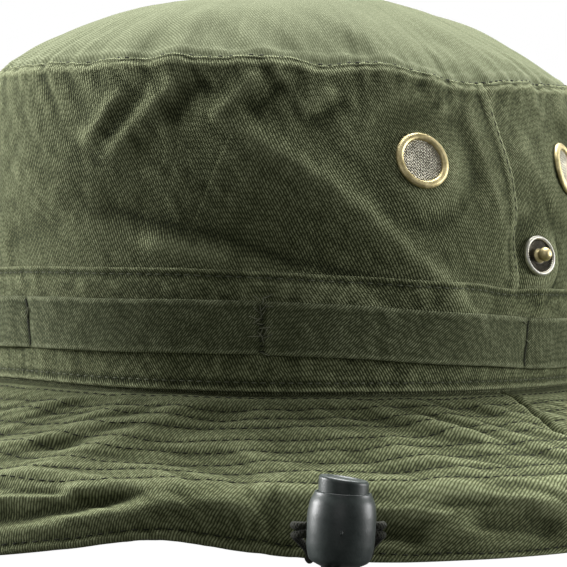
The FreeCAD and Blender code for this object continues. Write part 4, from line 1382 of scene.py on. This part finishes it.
def serrated(i, r, h):
    """Fine radial ribs pressed into the stud's dish."""
    ribs = 0.5 + 0.5 * math.cos(2 * math.pi * i / STUD_SEGMENTS * STUD_RIBS)
    return r, h - 0.22 * ribs * (1 if 2.6 < r < 5.3 and h > 0.3 else 0)


STUD_DISH = rounded([(0, 0.02), (5.8, 0.02), (6.0, 0.3), (5.95, 0.8), (5.5, 1.2), (5.0, 1.15), (4.7, 0.75),
                     (3.9, 0.6), (2.9, 0.5), (2.0, 0.5), (0, 0.5)], 0.2)
STUD_RIM = rounded([(4.75, 0.8), (5.1, 1.25), (5.5, 1.4), (6.0, 1.1), (6.15, 0.5), (6.1, 0.1), (5.6, 0.1),
                    (5.2, 0.6), (4.75, 0.8)], 0.12)
BALL_R, BALL_Z = 2.1, 2.8
BALL = [(0, 0.4), (2.3, 0.4), (2.15, 0.75), (1.6, 1.0), (1.5, 1.6)]
BALL += [(BALL_R * math.sin(a), BALL_Z - BALL_R * math.cos(a)) for a in np.linspace(0.82, math.pi - 0.35, 14)]
BALL += [(0, 4.75)]
STUD_BACK = rounded([(0, -1.95), (4.4, -1.95), (4.9, -1.7), (5.0, -1.4), (4.6, -1.25), (0, -1.25)], 0.2)
SOCKET = rounded([(0, 0.02), (5.3, 0.02), (5.5, 0.25), (5.4, 0.8), (4.8, 1.1), (4.1, 1.3), (3.8, 2.3), (3.5, 2.8),
                  (3.1, 2.8), (2.9, 2.5), (2.85, 2.0), (2.85, 0.2), (0, 0.1)], 0.2)
CAP = rounded([(0, -4.85), (2.6, -4.8), (4.3, -4.45), (4.95, -3.95), (4.95, -3.6), (4.3, -3.45), (0, -3.45)], 0.3)
POST = [(0, -3.7), (1.2, -3.7), (1.2, 0.1), (0, 0.1)]
SOCKET_REACH, SOCKET_ROOT = 38.8, 41.2


def socket_place(azimuth):
    """Place on the brim's top face for a snap socket and the face's outward direction."""
    outward = np.array(direction(azimuth, 0))
    stretch = math.hypot(OVAL[0] * outward[0], OVAL[1] * outward[1])
    slope = math.atan(math.tan(BRIM_SLOPE) / stretch)
    reach = FLAP_HINGE + SOCKET_REACH * math.cos(slope)
    fall = (reach / stretch - BRIM_ROOT[0]) * math.tan(BRIM_SLOPE)
    height = SOCKET_ROOT + EDGE_TURN / math.cos(BRIM_SLOPE) - fall
    return outward * reach + height * UP, outward * math.sin(slope) + math.cos(slope) * UP


STUD_PIECES = [  # name, shape, finish and the CAD node that each stands for
    ("snap_stud_", lathe(STUD_DISH, STUD_SEGMENTS, serrated), DISH_METAL, "snap_stud_"),
    ("snap_rim_", lathe(STUD_RIM, STUD_SEGMENTS, serrated), STEEL_BRASS, "snap_stud_"),
    ("snap_ball_", lathe(BALL, 48), BRASS, "snap_stud_"),
    ("snap_stud_back_", lathe(STUD_BACK, 72), DARK_BRASS, "snap_stud_back_"),
]
SOCKET_PIECES = [
    ("snap_socket_", lathe(SOCKET, 72), BRASS, "snap_socket_"),
    ("snap_socket_post_", lathe(POST, 32), DARK_BRASS, "snap_socket_"),
    ("snap_cap_", lathe(CAP, 72), BRASS, "snap_cap_"),
]
for side, azimuth in zip(("right", "left"), SOCKET_AZIMUTHS):
    on_hat, on_brim = on_cloth(*DISCS["snap_stud_" + side][:2]), socket_place(azimuth)
    for spot, body, pieces in ((on_hat, "hat", STUD_PIECES), (on_brim, "flap_" + side, SOCKET_PIECES)):
        for name, shape, finish, node in pieces:
            fitting(name + side, shape, *spot, finish, body, "brass_fittings", node + side)


# =====================================================================================
# Cord lock and the cord's end knot
# =====================================================================================
EYE_FOOT, EYE_R, EYE_REACH = 9.5, 1.5, 12.0
LOCK_LEAN, LOCK_FOOT = math.radians(3.5), 2.5


def lock_shape(shape, slant=0.0):
    """A piece drawn about +Z at the cord lock, leaning aside about the lock's foot; the top may slant."""
    foot, lean = LOCK_FOOT, LOCK_LEAN
    verts, faces = np.asarray(shape[0], float), shape[1]
    along, out, up = verts[:, 0], verts[:, 1], verts[:, 2]
    up = up + slant * along * smooth(up, 20.0, 23.0)
    lean_along = along * math.cos(lean) + (up - foot) * math.sin(lean)
    lean_up = foot + (up - foot) * math.cos(lean) - along * math.sin(lean)
    points = lean_along[:, None] * ASIDE + out[:, None] * OUTWARD + lean_up[:, None] * UP
    return points + np.array(at_lock(0, 0, 0)), [face[::-1] for face in faces]


def drilled(obj, high):
    """Cut the cord's eye through a piece: a rounded slot along the lock's aside direction, up to a height."""
    low, r, reach = EYE_FOOT, EYE_R, EYE_REACH
    bpy.context.view_layer.update()
    arc = [(r * math.cos(a), r * math.sin(a)) for a in np.linspace(0, math.pi, 13)]
    outline = [(x, high - r + z) for x, z in arc] + [(-x, low + r - z) for x, z in arc]
    verts = [at_lock(end, x, z) for end in (-reach, reach) for x, z in outline]
    n = len(outline)
    faces = [tuple(range(n)), tuple(range(2 * n - 1, n - 1, -1))]
    faces += [(i, n + i, n + (i + 1) % n, (i + 1) % n) for i in range(n)]
    cutter = make_object("eye_cutter", verts, faces, smooth_shade=False)
    cut = obj.modifiers.new("eye", "BOOLEAN")
    cut.operation, cut.solver, cut.object = "DIFFERENCE", "EXACT", cutter
    bpy.context.view_layer.update()
    mesh = bpy.data.meshes.new_from_object(obj.evaluated_get(bpy.context.evaluated_depsgraph_get()))
    obj.modifiers.clear()
    obj.data = mesh
    bpy.data.objects.remove(cutter)
    return obj


LOCK_BODY = rounded([(0, 2.5), (4.2, 2.5), (7.7, 4.2), (8.5, 8.0), (8.7, 12.0), (8.6, 16.0), (8.1, 19.0),
                     (7.3, 20.6), (7.1, 21.3), (6.55, 21.3), (6.5, 20.8), (6.5, 3.8), (0, 3.8)], 1.2, 6)
PLUNGER = rounded([(0, 8.5), (6.2, 8.5), (6.25, 20.8), (6.3, 24.2), (5.9, 24.8), (4.4, 24.85), (4.1, 24.6),
                   (0, 24.6)], 0.4, 5)
body_mesh, plunger_mesh = lock_shape(lathe(LOCK_BODY, 112)), lock_shape(lathe(PLUNGER, 96), slant=-0.09)
lock_body = drilled(make_object("cord_lock_body", *body_mesh, material=PLASTIC), 14.1)
linked(lock_body, "hat", "lock_plastic", "cord_lock_body")
plunger = drilled(make_object("cord_lock_plunger", *plunger_mesh, material=PLASTIC), 17.0)
linked(plunger, "lock_plunger", "lock_plastic", "cord_lock_plunger")


def gate_mark():
    """Small moulding mark on the lock's side."""
    x0, z0, proud, sunk, n = 0.4, 12.0, 8.72, 8.3, 16
    turns = np.linspace(0, 2 * math.pi, n, endpoint=False)
    mark = [(x0 + 0.32 * math.cos(a), z0 + 0.9 * math.sin(a)) for a in turns]
    verts = [at_lock(x, math.sqrt(r ** 2 - x ** 2), z) for r in (proud, sunk) for x, z in mark]
    verts += [at_lock(0.9, proud + 0.1, z0), at_lock(x0, sunk, z0)]
    faces = []
    for i in range(n):
        j = (i + 1) % n
        faces += [(i, j, 2 * n), (n + j, n + i, 2 * n + 1), (j, i, n + i, n + j)]
    return make_object("cord_lock_mark", verts, faces, material=PLASTIC)


linked(gate_mark(), "hat", "lock_plastic")


def coil(turns, radius, wire, low, high, sides=8, steps=40):
    """Round wire coil about +Z."""
    count = int(turns * steps) + 1
    verts, faces = [], []
    for i in range(count):
        a = 2 * math.pi * i / steps
        height = low + (high - low) * i / (count - 1)
        for j in range(sides):
            b = 2 * math.pi * j / sides
            r = radius + wire * math.cos(b)
            verts.append((r * math.cos(a), r * math.sin(a), height + wire * math.sin(b)))
    for i in range(count - 1):
        for j in range(sides):
            q = (j + 1) % sides
            faces.append((i * sides + j, (i + 1) * sides + j, (i + 1) * sides + q, i * sides + q))
    faces += [tuple(range(sides)), tuple(range(count * sides - 1, (count - 1) * sides - 1, -1))]
    return np.array(verts), faces


spring = make_object("cord_lock_spring", *lock_shape(coil(4, 4.6, 0.3, 4.3, 8.1)), material=STEEL)
linked(spring, "hat", "spring_steel", "cord_lock_spring")
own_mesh(spring)


def tube(points, radius, sides=10):
    """Round tube along a closed line of points."""
    points = np.asarray(points, float)
    ahead = np.roll(points, -1, 0) - np.roll(points, 1, 0)
    ahead /= np.linalg.norm(ahead, axis=1, keepdims=True)
    reference = np.array((0.13, 0.27, 0.95))
    across = np.cross(ahead, reference)
    across /= np.linalg.norm(across, axis=1, keepdims=True)
    up = np.cross(across, ahead)
    verts = np.concatenate([points + radius * (math.cos(a) * across + math.sin(a) * up)
                            for a in np.arange(sides) / sides * 2 * math.pi]).reshape(sides, len(points), 3)
    verts = verts.transpose(1, 0, 2).reshape(-1, 3)
    n, faces = len(points), []
    for i in range(n):
        here, after = i * sides, ((i + 1) % n) * sides
        faces += [(here + j, here + (j + 1) % sides, after + (j + 1) % sides, after + j) for j in range(sides)]
    return verts, faces


KNOT_ALONG = -2.2


def knot():
    """Overhand knot that ties the two strands together, with two cut tails."""
    a = np.linspace(0, 2 * math.pi, 120, endpoint=False)
    swing = 1.15 + 0.75 * np.cos(3 * a)
    loop = np.stack([swing * np.cos(2 * a), swing * np.sin(2 * a), 0.72 * np.sin(3 * a)], -1)
    loop = loop * (1.15, 1.5, 1.1)
    rows = [tube(np.array(at_lock(KNOT_ALONG, 26.2, 2.45)) + loop @ np.array((ASIDE, OUTWARD, UP)), 1.0)]
    for step in (-1.1, 1.2):
        start, end = at_lock(KNOT_ALONG + step * 0.6, 26.5, 1.7), at_lock(KNOT_ALONG + step * 1.5, 29.9, 1.3)
        rows.append(threads(np.array([start]), np.array([end]), UP[None], radius=0.95, sink=0.0))
    return merged("chin_cord_knot", rows, KNOT_BRAID)


cord_knot = linked(knot(), "hat", "cord", "chin_cord_knot")
